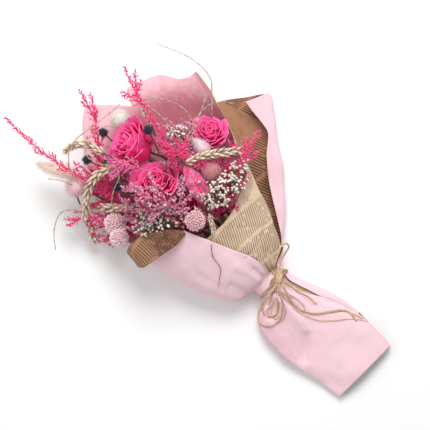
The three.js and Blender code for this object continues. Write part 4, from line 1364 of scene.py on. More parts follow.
TWINE_RUNS = (
    LooseTwine(
        "twine_loop_long",
        (
            (-5, -2, 4.6), (-7, 12, 4.2), (-9, 25, 3), (-14, 33, 2.4), (-22, 36, 2.2), (-29, 31, 2),
            (-31, 20, 1.6), (-24, 9, 1.5), (-14, 1, 2.6), (-9, -3, 3.2),
        ),
        "object", seed=1,
    ),
    LooseTwine(
        "twine_loop_short",
        (
            (-8, 5, 1.7), (-12, 15, 1.4), (-16, 22, 1.3), (-22, 24, 1.3), (-25, 19, 1.3), (-21, 13, 1.3),
            (-13, 6, 1.3),
        ),
        "object", seed=2,
    ),
    LooseTwine(
        "twine_loop_up",
        (
            (1.5, -13.5, 2.6), (8, -20, 5.2), (12, -31, 9), (14, -38, 12), (18, -39, 14), (20, -33, 13),
            (17, -25, 10), (12, -17, 8),
        ),
        "object", seed=3,
    ),
    LooseTwine(
        "twine_end_long",
        (
            (-7, -8, 4.4), (-16, -5, 2.3), (-27, -2, 1.3), (-39, -2, 1.3), (-50, -8, 1.3), (-60, -19, 1.3),
            (-68, -30, 1.3), (-76, -35, 1.5), (-87, -34, 1.5),
        ),
        "bare", spread=0.7, seed=4,
    ),
    LooseTwine(
        "twine_end_short",
        ((-6, -12, 3.8), (-16, -12, 1.8), (-26, -14, 1.3), (-36, -17, 1.3), (-46, -17, 1.3)), "bare", seed=5,
    ),
)


@dataclass
class TwineBinding:
    """The windings of twine round the neck of the wrap, with their knot."""

    windings: float = 15.6
    narrow: float = 2.2
    wide: float = 5.6
    lift: float = 1.7
    layer: float = 0.6
    steps: int = 60
    first_layer: float = 9.0
    second_layer: tuple = (0.82, 0.64)
    bunch: tuple = ((4.0, -17.5), (-1.0, -9.5), (-5.0, -3.0), (-8.6, 2.0))
    bunch_width: tuple = (3.4, 2.3, 2.4, 4.2)
    bunch_lift: tuple = (2.2, 4.2, 3.8, 2.0)
    bunch_strands: int = 9
    knot: tuple = ((-3.4, 2.6), (-2.4, 5.2), (0.0, 6.1), (2.4, 5.2), (3.4, 2.6))
    bow: tuple = (
        ((-10, 1.9), (-15.2, 13.7), (-20.9, 21.3), (-27.5, 22.3), (-28.5, 15.6), (-21.8, 7.1), (-12.4, 1.4)),
        ((-7.6, 2.4), (-7.6, 17.5), (-12.8, 25.6), (-20.9, 27), (-25.6, 20.4), (-21.4, 11.4), (-12.8, 2.8)),
        ((-12.4, -0.5), (-19.5, -4.7), (-28.5, -7.1), (-37.9, -7.1), (-43.7, -4.3)),
        (
            (-14.2, -0.5), (-29.4, 1.4), (-45.5, -1.4), (-58.8, -7.1),
            (-68.7, -16.1), (-79.1, -28.4), (-89.1, -37.4), (-95.7, -41.2),
        ),
        (
            (-13.8, -1.9), (-27.5, -0.5), (-42.5, -2.6), (-53.1, -10.9),
            (-63, -21.8), (-72.8, -32.9), (-83.2, -37.6), (-90.5, -39.8),
        ),
        ((-6.7, 1.4), (-3.8, 8.1), (-1.7, 15.4), (-0.8, 22.1)),
        ((-11.4, 0.5), (-21.8, 5.2), (-30.8, 11.4), (-33.2, 18.5), (-30.8, 23.7)),
    )
    bow_lift: tuple = (3.6, 1.9, 1.7)
    long_route: int = 7
    seed: int = 7

    def winding_line(self) -> Points:
        """Gives the line that the twine takes round the neck, broad on the right and narrow on the left.

        Returns:
            The points of the line.
        """
        line = []
        for turn in np.arange(0, self.windings, 1 / self.steps):
            beyond = max(0.0, turn - self.first_layer) / (self.windings - self.first_layer)
            first = turn < self.first_layer
            share = turn / self.first_layer if first else self.second_layer[0] - self.second_layer[1] * beyond
            angle = (turn * 360 + 150) % 360 - 180
            spread = max(smoothstep(-angle, 112, 150), smoothstep(angle, 166, 180))
            width = self.narrow + (self.wide - self.narrow) * spread
            x = width * (share - 0.5) + 0.3 * math.sin(turn * 9.0) - 2.0 * (1 - spread)
            lift = self.lift * (0.45 + 0.55 * spread) + (0 if first else self.layer * spread)
            point = FORM.point(angle, x, -lift - 0.2 * math.sin(turn * 7.3), PAPER / 2)
            line.append(np.maximum(point, [-np.inf, -np.inf, STRAND / 2 + 0.1]))
        return evenly(np.array(line), 0.7)

    def bunch_lines(self) -> list[Points]:
        """Gives the strands that lie side by side over the windings, and the short wrap that knots them.

        Returns:
            The lines.
        """
        path = np.array(self.bunch)
        across = unit(np.array([path[-1][1] - path[0][1], path[0][0] - path[-1][0]]))
        lines = []
        for offset in np.linspace(-1, 1, self.bunch_strands):
            knots = []
            for (x, y), width, lift in zip(path, self.bunch_width, self.bunch_lift):
                px, py = np.array([x, y]) + across * offset * width
                knots.append([px, py, FORM.top(px, py) + lift + 0.9 * (1 - offset**2)])
            lines.append(spline(knots, 0.6))
        for shift in (-1.0, 0.0, 1.0):
            middle = (path[1] + path[2]) / 2 + unit(path[2] - path[1]) * shift
            places = [(*(middle + across * far), up) for far, up in self.knot]
            lines.append(spline([(x, y, FORM.top(x, y) + up) for x, y, up in places], 0.6))
        return lines

    def bow_lines(self) -> list[Points]:
        """Gives the thin strands of the bow, which come down on the papers beside the loops and the ends.

        Returns:
            The lines.
        """
        lines = []
        for route in self.bow:
            high, landing, low = self.bow_lift
            long, last = len(route) >= self.long_route, len(route) - 1
            places, lifts = ((0, 1.2, last), (high, landing, low)) if long else ((0, last), (high, low))
            lift = np.interp(np.arange(len(route)), places, lifts)
            lines.append(spline([on_paper(x, y, up) for (x, y), up in zip(route, lift)], 0.8))
        return lines

    def build(self) -> Piece:
        """Builds the windings and the knot as one piece.

        Returns:
            The piece.
        """
        shape = Shape("twine_windings")
        for i, line in enumerate([self.winding_line(), *self.bunch_lines(), *self.bow_lines()]):
            shape.add(tube(line, STRAND / 2, 8, plies=0.3), tone=0.35 + 0.09 * (i * 3 % 7))
            shape.add(fibres(line, STRAND / 2, 0.4, self.seed + i), tone=0.9)
        piece = shape.build([JUTE.material()])
        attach(piece, "root")
        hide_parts("twine_binding")
        return piece


# Stems and stalks


@dataclass(frozen=True)
class StemBundle:
    """The stems that the tie grips, open towards the heads and cut off in the paper tail."""

    rows: tuple = ((5.3, (-10, -5.2, -0.4, 4.4)), (9.4, (-7.6, -2.8, 2)), (13.5, (-5.2, -0.4)))
    fork_x: float = 84.0
    fork_spread: float = 3.3
    tail_spread: float = 1.9
    fork_rise: float = 3.6
    level: float = 5.0
    tail_rise: float = 0.6
    cut_end: float = -52.0
    thickness: float = 5.2
    strands: int = 4

    def slots(self) -> list[tuple[float, float]]:
        """Gives the place of each stem at the tie."""
        return [(y, z) for z, row in self.rows for y in row]

    def fork(self, y: float, z: float) -> Points:
        """Gives where the stem of a slot ends towards the heads."""
        across = FORM.centre + (y - FORM.centre) * self.fork_spread
        return np.array([self.fork_x, across, self.level + (z - self.level) * self.fork_rise])

    def forks(self) -> Points:
        """Gives every stem's end towards the heads."""
        return np.array([self.fork(y, z) for y, z in self.slots()])

    def build(self) -> Piece:
        """Builds a few thin stems in the room of each modelled one.

        Returns:
            The piece.
        """
        shape = Shape("stems")
        draw = np.random.default_rng(5)
        for i, (y, z) in enumerate(self.slots()):
            cut = self.cut_end - 7 * ((i * 5) % 4)
            low = self.level + (z - self.level) * self.tail_rise
            tail_y = FORM.centre + (y - FORM.centre) * self.tail_spread
            route = np.array([[cut, tail_y, low], [-12, y, z], [10, y, z], self.fork(y, z)])
            line = spline(route, 6.0)
            frames = carried_frames(line)
            for k in range(self.strands):
                angle = k * 2 * math.pi / self.strands + draw.uniform(0, 1.2)
                side = frames[:, 1] * math.cos(angle) + frames[:, 2] * math.sin(angle)
                offset = self.thickness * 0.27
                radius = draw.uniform(0.9, 1.25)
                shape.add(tube(line + side * offset, radius, 6), tone=draw.uniform(0.2, 0.8))
        piece = shape.build([STRAW.material()])
        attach(piece, "root")
        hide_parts("stem_bundle")
        return piece


STEMS = StemBundle()


def stalk_line(base: Points, axis: Points) -> Points:
    """Gives the line of a stalk, from a head down to the nearest stem of the bundle.

    Args:
        base: The foot of the head.
        axis: The direction that the head points in.

    Returns:
        The points of the line.
    """
    ends = STEMS.forks()
    end = ends[np.argmin(np.linalg.norm(ends - base, axis=1))]
    direction = unit(axis)
    run = np.linalg.norm(base - end)
    away = base - direction * 0.3 * run
    away[2] = min(away[2], base[2] - 0.1 * run)
    line = spline([base + direction * 2, away, end], 5.0)
    floor = [FORM.bottom(x, y) + 4.0 for x, y, _ in line]
    line[:, 2] = np.maximum(line[:, 2], floor)
    return line


# Heads


@dataclass
class Head:
    """What every flower, ear and spray shares: its node, its slot and its finishes."""

    node: str
    slot: str
    finishes: tuple[Finish, ...]
    seed: int = 1

    def __post_init__(self) -> None:
        """Gives the head its own shape and its own source of small differences."""
        self.shape = Shape(f"dressed_{self.node}")
        self.draw = np.random.default_rng(self.seed)

    def fill(self) -> None:
        """Adds the head's solids to its shape. Each kind has its own."""
        raise NotImplementedError

    def add_stalk(self, base: Points, axis: Points, radius: float, finish: int = 1) -> None:
        """Adds the stalk between the head and the bundle."""
        line = stalk_line(np.asarray(base, float), np.asarray(axis, float))
        self.shape.add(tube(line, radius, 5), finish, tone=0.4)

    def strew(
        self,
        template: Solid,
        places: Points,
        directions: Points,
        sizes: Points,
        tones: tuple[float, float] = (0.2, 0.9),
    ) -> None:
        """Adds copies of one small solid in the first finish, each with a roll and a tone of its own.

        Args:
            template: The small solid, along the forward axis.
            places: Where each copy starts.
            directions: Where each copy points.
            sizes: The length, width and height of each copy.
            tones: The darkest and the lightest tone.
        """
        frames = frames_along(directions, self.draw.uniform(0, ANY_ROLL, len(places)))
        shades = np.repeat(self.draw.uniform(*tones, len(places)), len(template[0]))
        solid = scattered(template, places, frames, sizes)
        self.shape.add(solid, 0, tone=shades, along=np.tile(template[0][:, 0], len(places)))

    def build(self) -> Piece:
        """Builds the head as one piece in place of its node.

        Returns:
            The piece.
        """
        self.fill()
        piece = self.shape.build([finish.material() for finish in self.finishes])
        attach(piece, "root")
        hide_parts(self.node)
        return piece


@dataclass
class Rose(Head):
    """A preserved rose: petals in layers round a closed bud.

    Its lengths are shares of its size, and each pair holds a value in the middle and one at the outside.
    """

    centre: tuple = (0, 0, 0)
    axis: tuple = (0, 0, 1)
    size: float = 25.0
    petals: int = 19
    rows: int = 14
    columns: int = 19
    outermost: float = 0.955
    half_span: tuple = (74, 58)
    radius: tuple = (0.22, 0.96)
    crown: tuple = (0.88, 0.48)
    foot: tuple = (-0.2, -0.6)
    opening: tuple = (-0.14, 0.12)
    lip: tuple = (0.03, 0.17)
    petal_thickness: float = 0.55
    bud_leaves: int = 5
    bud_thickness: float = 0.5
    cup: tuple = ((-0.78, 0), (-0.66, 0.2), (-0.5, 0.36), (-0.3, 0.5), (-0.1, 0.3), (0.0, 0))

    def blade(self) -> tuple[Points, Points]:
        """Gives the shares up and across a petal, as a column and a row."""
        return np.linspace(0, 1, self.rows)[:, None], np.linspace(-1, 1, self.columns)[None]

    def around(self, facing: Points, turn: Points, reach: Points, height: Points) -> Points:
        """Gives points that are turned about the rose's axis, away from it and up along it."""
        out = facing[1] * np.cos(turn)[..., None] + facing[2] * np.sin(turn)[..., None]
        return np.array(self.centre) + out * reach[..., None] + facing[0] * height[..., None]

    def petal(self, facing: Points, layer: float, angle: float) -> Points:
        """Gives the grid of one petal.

        Args:
            facing: The frame that looks along the rose's axis.
            layer: 0 for the middle of the rose, 1 for its outside.
            angle: The side that the petal stands on.

        Returns:
            The grid of points.
        """
        up, across = self.blade()
        pairs = (self.half_span, self.radius, self.crown, self.foot, self.opening, self.lip)
        span, radius, crown, foot, opening, lip = (low + (high - low) * layer for low, high in pairs)
        width = 0.55 + 0.45 * np.sin(math.pi * (0.1 + 0.72 * up))
        phase = self.draw.uniform(0, ANY_ROLL)
        rim = np.sin(3.4 * across + phase) + 0.6 * np.sin(7.3 * across + 2 * phase)
        risen = (crown - foot - 0.2 * across**2 * up) * up * (1 + 0.035 * rim * up)
        flare = 1 + opening * up**2 + lip * smoothstep(up, 0.76, 1.0)
        folds = np.sin(11 * across + 5 * up + phase) + 0.7 * np.sin(19 * across - 3 * up + 3 * phase)
        reach = radius * (0.5 + 0.5 * np.sqrt(up)) * flare
        reach = reach * (1 + 0.06 * across + 0.045 * rim * up**2) + 0.018 * folds * up
        turn = angle + across * math.radians(span) * width
        grid = self.around(facing, turn, self.size * reach, self.size * (foot + risen))
        return grid + grid_normals(grid) * (0.5 * ripple(grid, 5.0, int(phase * 100)) * up)[..., None]

    def bud(self, facing: Points, k: int) -> Points:
        """Gives the grid of one of the leaves of the closed bud in the middle.

        Args:
            facing: The frame that looks along the rose's axis.
            k: Which leaf it is, counted from the inside.

        Returns:
            The grid of points.
        """
        up, across = self.blade()
        reach = (0.09 + 0.035 * k) * (0.55 + 0.75 * np.sin(math.pi * (0.15 + 0.7 * up))) * (1 + 0.12 * across)
        height = -0.3 + (1.15 - 0.05 * k) * up - 0.05 * across**2
        return self.around(facing, k * GOLDEN_ANGLE + across * 1.9, self.size * reach, self.size * height)

    def fill(self) -> None:
        """Adds the bud, the petals, the calyx and the stalk."""
        facing = frame_along(self.axis)
        middle = np.array(self.centre, float)
        along = np.tile(np.repeat(np.linspace(0, 1, self.rows), self.columns), 2)
        # The inner bud leaves are a little darker than the outer ones: painted shade deep in the bud.
        for k in range(self.bud_leaves):
            leaf = thickened(self.bud(facing, k), self.bud_thickness)
            self.shape.add(leaf, 0, tone=0.3 + 0.05 * k, along=along * 0.7)
        for k in range(self.petals):
            layer = self.outermost * (k + 0.5) / self.petals
            angle = k * GOLDEN_ANGLE + self.draw.uniform(-0.12, 0.12)
            petal = thickened(self.petal(facing, layer, angle), self.petal_thickness)
            # Each petal darkens towards its crowded base, which is painted shade, and lightens towards its
            # tip.
            tone = 0.2 + 0.4 * along + self.draw.uniform(-0.08, 0.12)
            self.shape.add(petal, 0, tone=tone, along=along * 0.8)
        points, faces = turned(self.cup, 12)
        self.shape.add((points * self.size @ facing + middle, faces), 1)
        self.add_stalk(middle - facing[0] * 0.6 * self.size, facing[0], 1.2)


@dataclass
class WheatEar(Head):
    """An ear of wheat: rings of overlapping grains on a bent axis, each with a short awn."""

    points: tuple = ()
    width: float = 11.0
    pitch: float = 4.4
    ring: int = 4
    grain: tuple = ((0, 0), (0.12, 0.3), (0.38, 0.5), (0.66, 0.4), (0.88, 0.14), (1, 0))
    grain_size: tuple = (0.76, 0.3, 0.27)
    awn_thickness: float = 0.6

    def set_grains(self, line: Points) -> tuple[Points, Points, Points]:
        """Sets the grains along the ear.

        Args:
            line: The ear's axis.

        Returns:
            The place, the direction and the three sizes of each grain.
        """
        frames = carried_frames(line)
        count = max(4, int(run_length(line) / self.pitch))
        places, directions, sizes = [], [], []
        for i in range(count + 1):
            share = i / count
            at = min(len(line) - 1, int(share * (len(line) - 1)))
            forward, side, up = frames[at]
            swell = math.sin(math.pi * (0.2 + 0.66 * share))
            for k in range(self.ring):
                angle = (k + 0.5 * (i % 2)) * 2 * math.pi / self.ring + self.draw.uniform(-0.2, 0.2)
                out = side * math.cos(angle) + up * math.sin(angle)
                places.append(line[at] + out * 0.1 * self.width * swell - forward * 1.5)
                leaning = forward + out * (0.5 + self.draw.uniform(-0.14, 0.14))
                directions.append(unit(leaning + self.draw.normal(0, 0.06, 3)))
                long = (0.7 + 0.3 * swell) * self.draw.uniform(0.88, 1.14)
                sizes.append(self.width * np.array(self.grain_size) * [long, 1, 1])
        return np.array(places), np.array(directions), np.array(sizes)

    def fill(self) -> None:
        """Adds the axis, the grains, their awns and the stalk."""
        line = spline(self.points, 1.0)
        self.shape.add(tube(line, 0.9, 5), 0, tone=0.3)
        places, directions, sizes = self.set_grains(line)
        frames = frames_along(directions, self.draw.uniform(0, ANY_ROLL, len(places)))
        grain, awn = turned(self.grain, 7), turned(HAIR_FORM, 3)
        alongs = np.tile(grain[0][:, 0], len(places))
        tones = np.repeat(self.draw.uniform(0.3, 0.8, len(places)), len(grain[0])) + 0.5 * alongs - 0.3
        self.shape.add(scattered(grain, places, frames, sizes), 0, tone=tones, along=alongs)
        thin = np.full(len(places), self.awn_thickness)
        awns = np.column_stack([self.draw.uniform(2.0, 5.0, len(places)), thin, thin])
        tips = places + directions * sizes[:, :1] * 0.86
        self.shape.add(scattered(awn, tips, frames, awns), 0, tone=0.8, along=1.0)
        self.add_stalk(line[0], carried_frames(line)[0][0], 1.0)


@dataclass(frozen=True)
class Cover:
    """One kind of hair, floret or spine on a head: its form, its size and how it is set."""

    profile: tuple
    sides: int
    length: float
    vary: tuple[float, float]
    thickness: float = 0.0
    thickness_share: float = 0.0
    lean: float = 0.1
    root: float = 0.78
    core_tone: float = 0.25


class Tuft(Enum):
    """What a round or egg-shaped head is covered with."""

    HAIR = Cover(
        ((0, 0), (0.15, 0.5), (1, 0)), 3, 0.26, (0.5, 1.3), thickness=0.34, lean=0.3, root=0.88, core_tone=0.9
    )
    BEADS = Cover(((0, 0), (0.5, 0.32), (0.86, 0.5), (1, 0)), 5, 0.3, (0.75, 1.25), thickness_share=0.075)
    SPINES = Cover(((0, 0), (0.2, 0.5), (1, 0)), 4, 0.3, (0.6, 1.5), thickness_share=0.09)


@dataclass
class TuftedHead(Head):
    """A round or egg-shaped head covered with hair, florets or spines that lean towards its tip."""

    base: tuple = (0, 0, 0)
    tip: tuple = (0, 0, 1)
    width: float = 16.0
    reach: float = 0.2
    tuft: Tuft = Tuft.HAIR
    count: int = 1500
    pointed: float = 0.0
    core: tuple = ((-0.92, 0), (-0.8, 0.46), (-0.4, 0.84), (0.1, 0.92), (0.5, 0.8), (0.8, 0.44), (0.92, 0))
    bracts: int = 9

    def slimming(self, at: float | Points) -> float | Points:
        """Gives how slim the head is, at -1 at its base to 1 at its tip."""
        return 1 - self.pointed * (0.5 + 0.5 * at) ** 1.5

    def fill(self) -> None:
        """Adds the core, its cover and the stalk."""
        base, tip = np.array(self.base, float), np.array(self.tip, float)
        cover, middle, facing = self.tuft.value, (base + tip) / 2, frame_along(tip - base)
        radii = np.array([np.linalg.norm(tip - base), self.width, self.width]) / 2
        points, faces = turned([(at, wide * self.slimming(at)) for at, wide in self.core], 14)
        self.shape.add((points * radii @ facing + middle, faces), 0, tone=cover.core_tone)
        index = np.arange(self.count)
        height, turn = 1 - 2 * (index + 0.5) / self.count, index * GOLDEN_ANGLE
        ring = np.sqrt(1 - height**2) * self.slimming(height)
        ball = np.column_stack([height, ring * np.cos(turn), ring * np.sin(turn)])
        outward = unit(ball / radii) + [cover.lean, 0, 0]
        outward = unit(outward + self.draw.normal(0, 0.12, ball.shape))
        lengths = (cover.length + self.reach) * self.width / 2 * self.draw.uniform(*cover.vary, self.count)
        widths = np.full(self.count, cover.thickness + cover.thickness_share * self.width)
        sizes = np.column_stack([lengths, widths, widths])
        places = (ball * radii * cover.root) @ facing + middle
        self.strew(turned(cover.profile, cover.sides), places, outward @ facing, sizes)
        if self.tuft is Tuft.SPINES:
            self.add_bracts(base, facing)
        self.add_stalk(base, tip - base, 0.8)

    def add_bracts(self, base: Points, facing: Points) -> None:
        """Adds the pointed bracts that stand out round the foot of a thistle.

        Args:
            base: The foot of the head.
            facing: The frame that looks along it.
        """
        n = self.bracts
        bract = turned([(0, 0), (0.3, 0.5), (0.6, 0.4), (1, 0)], 4)
        turn = np.arange(n) * 2 * math.pi / n + self.draw.uniform(-0.1, 0.1, n)
        directions = np.column_stack([np.full(n, 0.5), np.cos(turn), np.sin(turn)]) @ facing
        sizes = np.column_stack([self.draw.uniform(5.5, 7.5, n), np.full(n, 1.5), np.full(n, 0.6)])
        places = np.tile(base + facing[0] * 1.5, (n, 1))
        frames = frames_along(directions, np.zeros(n))
        self.shape.add(scattered(bract, places, frames, sizes), 0, tone=0.7, along=0.4)


@dataclass(frozen=True)
class Dressing:
    """How spikelets or florets sit along a side twig: their places, sizes, tones and directions."""

    places: tuple
    sizes: tuple
    tones: tuple
    spread: float
    forward: float = 1.0
    lift: float = 0.0


class Spikelet(Enum):
    """What the side twigs of a spray carry: slim pointed spikelets, or tiny open florets."""

    NEEDLES = Dressing(
        (0.12, 0.32, 0.52, 0.7, 0.86), ((2.0, 4.0), (0.85, 1.3), (0.6, 0.9)), (0.2, 0.9), spread=0.34
    )
    FLORETS = Dressing(
        (0.35, 0.6, 0.85, 1.05), ((1.5, 2.7),), (0.15, 0.95), spread=0.6, forward=0.6, lift=0.5
    )


@dataclass
class Spray(Head):
    """A spray: bent arms set all along with short side twigs and their spikelets.

    The scales are how large the side twigs are on an offshoot, on the stalk, on its offshoots and on a twig.
    """

    arms: tuple = ()
    reach: float = 8.0
    thick: float = 1.7
    pitch: float = 1.7
    offshoot_pitch: float = 15.0
    offshoot_length: float = 17.0
    offshoot_range: tuple = (0.1, 0.72)
    dressed_stalk: float = 34.0
    stalk_offshoots: tuple = (0.2, 0.45, 0.7, 0.9)
    scales: tuple = (0.62, 0.85, 0.7, 0.55)
    spikelet: Spikelet = Spikelet.NEEDLES
    twigs: tuple = ()

    def fill(self) -> None:
        """Adds every arm, the stalk and the thin twigs beside them."""
        on_arm, on_stalk, on_foot, on_twig = self.scales
        for route in self.arms:
            line = spline(route, 1.0)
            self.add_arm(line)
            starts = np.arange(*self.offshoot_range, self.offshoot_pitch / run_length(line))
            self.add_offshoots(line, starts, on_arm)
        first = np.array(self.arms[0], float)
        stalk = evenly(stalk_line(first[0], first[1] - first[0]), 1.0)
        self.shape.add(tube(stalk[::4], 0.7, 5), 0, tone=0.4)
        if self.dressed_stalk:
            upper = stalk[: int(self.dressed_stalk)][::-1]
            self.add_arm(upper, on_stalk)
            self.add_offshoots(upper, self.stalk_offshoots, on_foot)
        for route in self.twigs:
            self.add_arm(spline(route, 1.0), on_twig)

    def add_offshoots(self, line: Points, starts: Points, scale: float) -> None:
        """Adds the side arms of an arm, which leave it to the left and the right by turns.

        Args:
            line: The arm.
            starts: Where they leave it, as shares of its length.
            scale: How large their side twigs are.
        """
        for k, start in enumerate(starts):
            at = int(start * (len(line) - 1))
            forward = unit(np.gradient(line, axis=0)[at])
            side = unit(np.cross([0.0, 0.0, 1.0], forward)) * (1 if k % 2 else -1)
            long = self.offshoot_length * (1.15 - 0.7 * start) * self.draw.uniform(0.8, 1.15)
            lift = self.draw.uniform(-0.35, 0.15)
            bend = line[at] + (forward * 0.42 + side * 0.3 + [0, 0, lift * 0.4]) * long
            end = line[at] + (forward * 0.9 + side * 0.42 + [0, 0, lift]) * long
            self.add_arm(spline([line[at], bend, end], 1.0), scale)

    def add_arm(self, line: Points, scale: float = 1.0) -> None:
        """Adds one arm with its side twigs, which are longest at its foot.

        Args:
            line: The arm's centre line.
            scale: How large its side twigs are.
        """
        frames = carried_frames(line)
        self.shape.add(tube(line, np.linspace(self.thick * 0.42 * scale, 0.3, len(line)), 5), 0, tone=0.35)
        count = max(4, int(run_length(line) / self.pitch))
        share = (np.arange(count) + self.draw.uniform(0, 0.8, count)) / count
        at = np.clip((share * (len(line) - 1)).astype(int), 0, len(line) - 1)
        angle = np.arange(count) * GOLDEN_ANGLE * 1.02
        out = frames[at, 1] * np.cos(angle)[:, None] + frames[at, 2] * np.sin(angle)[:, None]
        directions = unit(frames[at, 0] * self.draw.uniform(1.0, 2.4, count)[:, None] + out)
        reach = self.reach * scale * (1.2 - 0.75 * share) * self.draw.uniform(0.5, 1.15, count)
        rod = turned([(0, 0), (0.4, 0.5), (1, 0)], 4)
        sizes = np.column_stack([reach, np.full((count, 2), 0.9)])
        turns = frames_along(directions, self.draw.uniform(0, ANY_ROLL, count))
        self.shape.add(scattered(rod, line[at], turns, sizes), 0, tone=0.45)
        self.dress(line[at], directions, reach)

    def dress(self, roots: Points, directions: Points, reach: Points) -> None:
        """Adds the spikelets or the florets along the side twigs.

        Args:
            roots: Where each side twig starts.
            directions: Where each side twig points.
            reach: How long each side twig is.
        """
        kind = self.spikelet.value
        needle = turned([(0, 0), (0.35, 0.5), (0.75, 0.36), (1, 0)], 4)
        template = needle if self.spikelet is Spikelet.NEEDLES else open_floret(5)
        for place in kind.places:
            spread = self.draw.normal(0, kind.spread, roots.shape)
            towards = unit(directions * kind.forward + spread + [0, 0, kind.lift])
            sizes = np.column_stack([self.draw.uniform(*limits, len(roots)) for limits in kind.sizes])
            places = roots + directions * (reach * place)[:, None]
            self.strew(template, places, towards, sizes, kind.tones)


def open_floret(petals: int) -> Solid:
    """Makes a tiny funnel with a star-shaped rim, one unit across.

    Args:
        petals: How many points the star has.

    Returns:
        Its points and triangles.
    """
    sides = petals * 2
    here = np.arange(sides)
    following = (here + 1) % sides
    angles = here * 2 * math.pi / sides
    reach = np.where(here % 2 == 0, 0.6, 0.3)
    rim = np.column_stack([np.full(sides, 0.85), reach * np.cos(angles), reach * np.sin(angles)])
    outside = np.column_stack([np.zeros(sides, int), 1 + following, 1 + here])
    inside = np.column_stack([np.full(sides, sides + 1), 1 + here, 1 + following])
    return np.vstack([[[0, 0, 0]], rim, [[0.5, 0, 0]]]), np.vstack([outside, inside])


@dataclass
class Cluster(Head):
    """A cloud of tiny white flowers on hair-thin twigs from one root, kept clear of a round head."""

    root: tuple = (0, 0, 0)
    middle: tuple = (0, 0, 1)
    radii: tuple = (10, 10, 5)
    florets: int = 16
    around: int = 13
    scatter: tuple = (3.4, 3.4, 1.7)
    clear_of: tuple = (0, 0)
    clear_radius: float = 0.0

    def targets(self) -> Points:
        """Gives the middle of each sprig, spread over a dome.

        Returns:
            The points.
        """
        index = np.arange(self.florets)
        ring, turn = np.sqrt((index + 0.5) / self.florets), index * GOLDEN_ANGLE
        offset = np.column_stack([ring * np.cos(turn), ring * np.sin(turn), 1 - ring])
        return np.array(self.middle, float) + offset * np.array(self.radii, float)

    def fill(self) -> None:
        """Adds the twigs, the flowers and the stalk."""
        root = np.array(self.root, float)
        for target in self.targets():
            fork = root + (target - root) * 0.62
            bend = (root + fork) / 2 + [0, 0, 1.0]
            self.shape.add(tube(spline([root, bend, fork], 4.0), 0.42, 4), 1, tone=0.6)
            spots = target + self.draw.normal(0, 1, (self.around, 3)) * self.scatter
            apart = np.linalg.norm(spots[:, :2] - np.array(self.clear_of), axis=1)
            spots = spots[apart > self.clear_radius]
            if not len(spots):
                continue
            for spot in spots:
                hair = np.array([fork, (fork + spot) / 2 + [0, 0, 0.5], spot])
                self.shape.add(tube(hair, 0.26, 3), 1, tone=0.7)
            towards = unit(spots - fork + [0, 0, 4.0] + self.draw.normal(0, 1.0, spots.shape))
            for scale, sink in ((1.0, 0.0), (0.62, 0.35)):
                sizes = np.tile(self.draw.uniform(2.1, 3.3, len(spots))[:, None] * scale, 3)
                self.strew(open_floret(6), spots + towards * sink, towards, sizes, (0.4, 1.0))
        self.add_stalk(root, np.array(self.middle, float) - root, 0.8)


@dataclass
class StrandFan(Head):
    """A fan of long dyed grass strands from one root."""

    root: tuple = (0, 0, 0)
    tips: tuple = ()
    strands: int = 8
    scatter: tuple = (2.4, 2.4, 0.9)
    spikelets: int = 7

    def fill(self) -> None:
        """Adds the strands, their short spikelets and the stalk."""
        root, n = np.array(self.root, float), self.spikelets
        needle = turned([(0, 0), (0.35, 0.5), (1, 0)], 4)
        for tip in np.repeat(np.array(self.tips, float), self.strands, axis=0):
            end = tip + self.draw.normal(0, 1, 3) * self.scatter
            line = spline([root, (root + end) / 2 + [0, 0, self.draw.uniform(0.4, 1.8)], end], 2.0)
            tone = self.draw.uniform(0.2, 0.9)
            self.shape.add(tube(line, np.linspace(0.5, 0.22, len(line)), 4), 0, tone=tone)
            at = self.draw.integers(len(line) // 3, len(line) - 1, n)
            towards = unit(np.gradient(line, axis=0)[at] + self.draw.normal(0, 0.35, (n, 3)))
            sizes = np.column_stack([self.draw.uniform(2.5, 4.5, n), np.full((n, 2), 0.8)])
            frames = frames_along(towards, self.draw.uniform(0, ANY_ROLL, n))
            self.shape.add(scattered(needle, line[at], frames, sizes), 0, tone=tone, along=0.6)
        self.add_stalk(root, np.array(self.tips[0], float) - root, 0.8, 0)


@dataclass
class RibbedLeaf(Head):
    """A skeleton leaf: an arched blade with a midrib, side ribs and a net of veins."""

    base: tuple = (0, 0, 0)
    tip: tuple = (0, 0, 1)
    width: float = 19.0
    arch: float = 4.0
    grid_size: tuple = (34, 17)
    thickness: float = 0.4
    rib_starts: tuple = (0.06, 0.84, 0.075)
    rib_run: tuple = (0.16, 0.94)

    def at(self, along: Points, across: Points) -> Points:
        """Gives points of the blade.

        Args:
            along: How far each is from the base to the tip, from 0 to 1.
            across: How far each is to the side, from -1 to 1.

        Returns:
            The points.
        """
        base, tip = np.array(self.base, float), np.array(self.tip, float)
        facing = frame_along(tip - base)
        half = (self.width / 2) * np.sin(math.pi * np.minimum(1, 0.12 + 0.88 * along)) ** 0.8 + 0.3
        rise = self.arch * np.sin(math.pi * along) - 0.25 * half * across**2
        point = base + (tip - base) * along[..., None] + facing[1] * (across * half)[..., None]
        return point + facing[2] * rise[..., None]

    def fill(self) -> None:
        """Adds the blade, its ribs and the stalk."""
        rows, columns = self.grid_size
        along, across = np.meshgrid(np.linspace(0, 1, rows), np.linspace(-1, 1, columns), indexing="ij")
        grid = self.at(along, across)
        grid = grid + grid_normals(grid) * (0.9 * ripple(grid, 9.0, 12))[..., None]
        self.shape.add(thickened(grid, self.thickness), 0, tone=0.5)
        share = np.linspace(0, 1, 24)
        self.shape.add(tube(self.at(share, share * 0), np.linspace(0.9, 0.3, 24), 6), 1)
        share = np.linspace(0, 1, 9)
        for start in np.arange(*self.rib_starts):
            for side in (-1, 1):
                line = self.at(start + self.rib_run[0] * share, side * self.rib_run[1] * share)
                self.shape.add(tube(line, np.linspace(0.42, 0.16, 9), 4), 1)
        self.add_stalk(self.base, np.subtract(self.tip, self.base), 0.7)


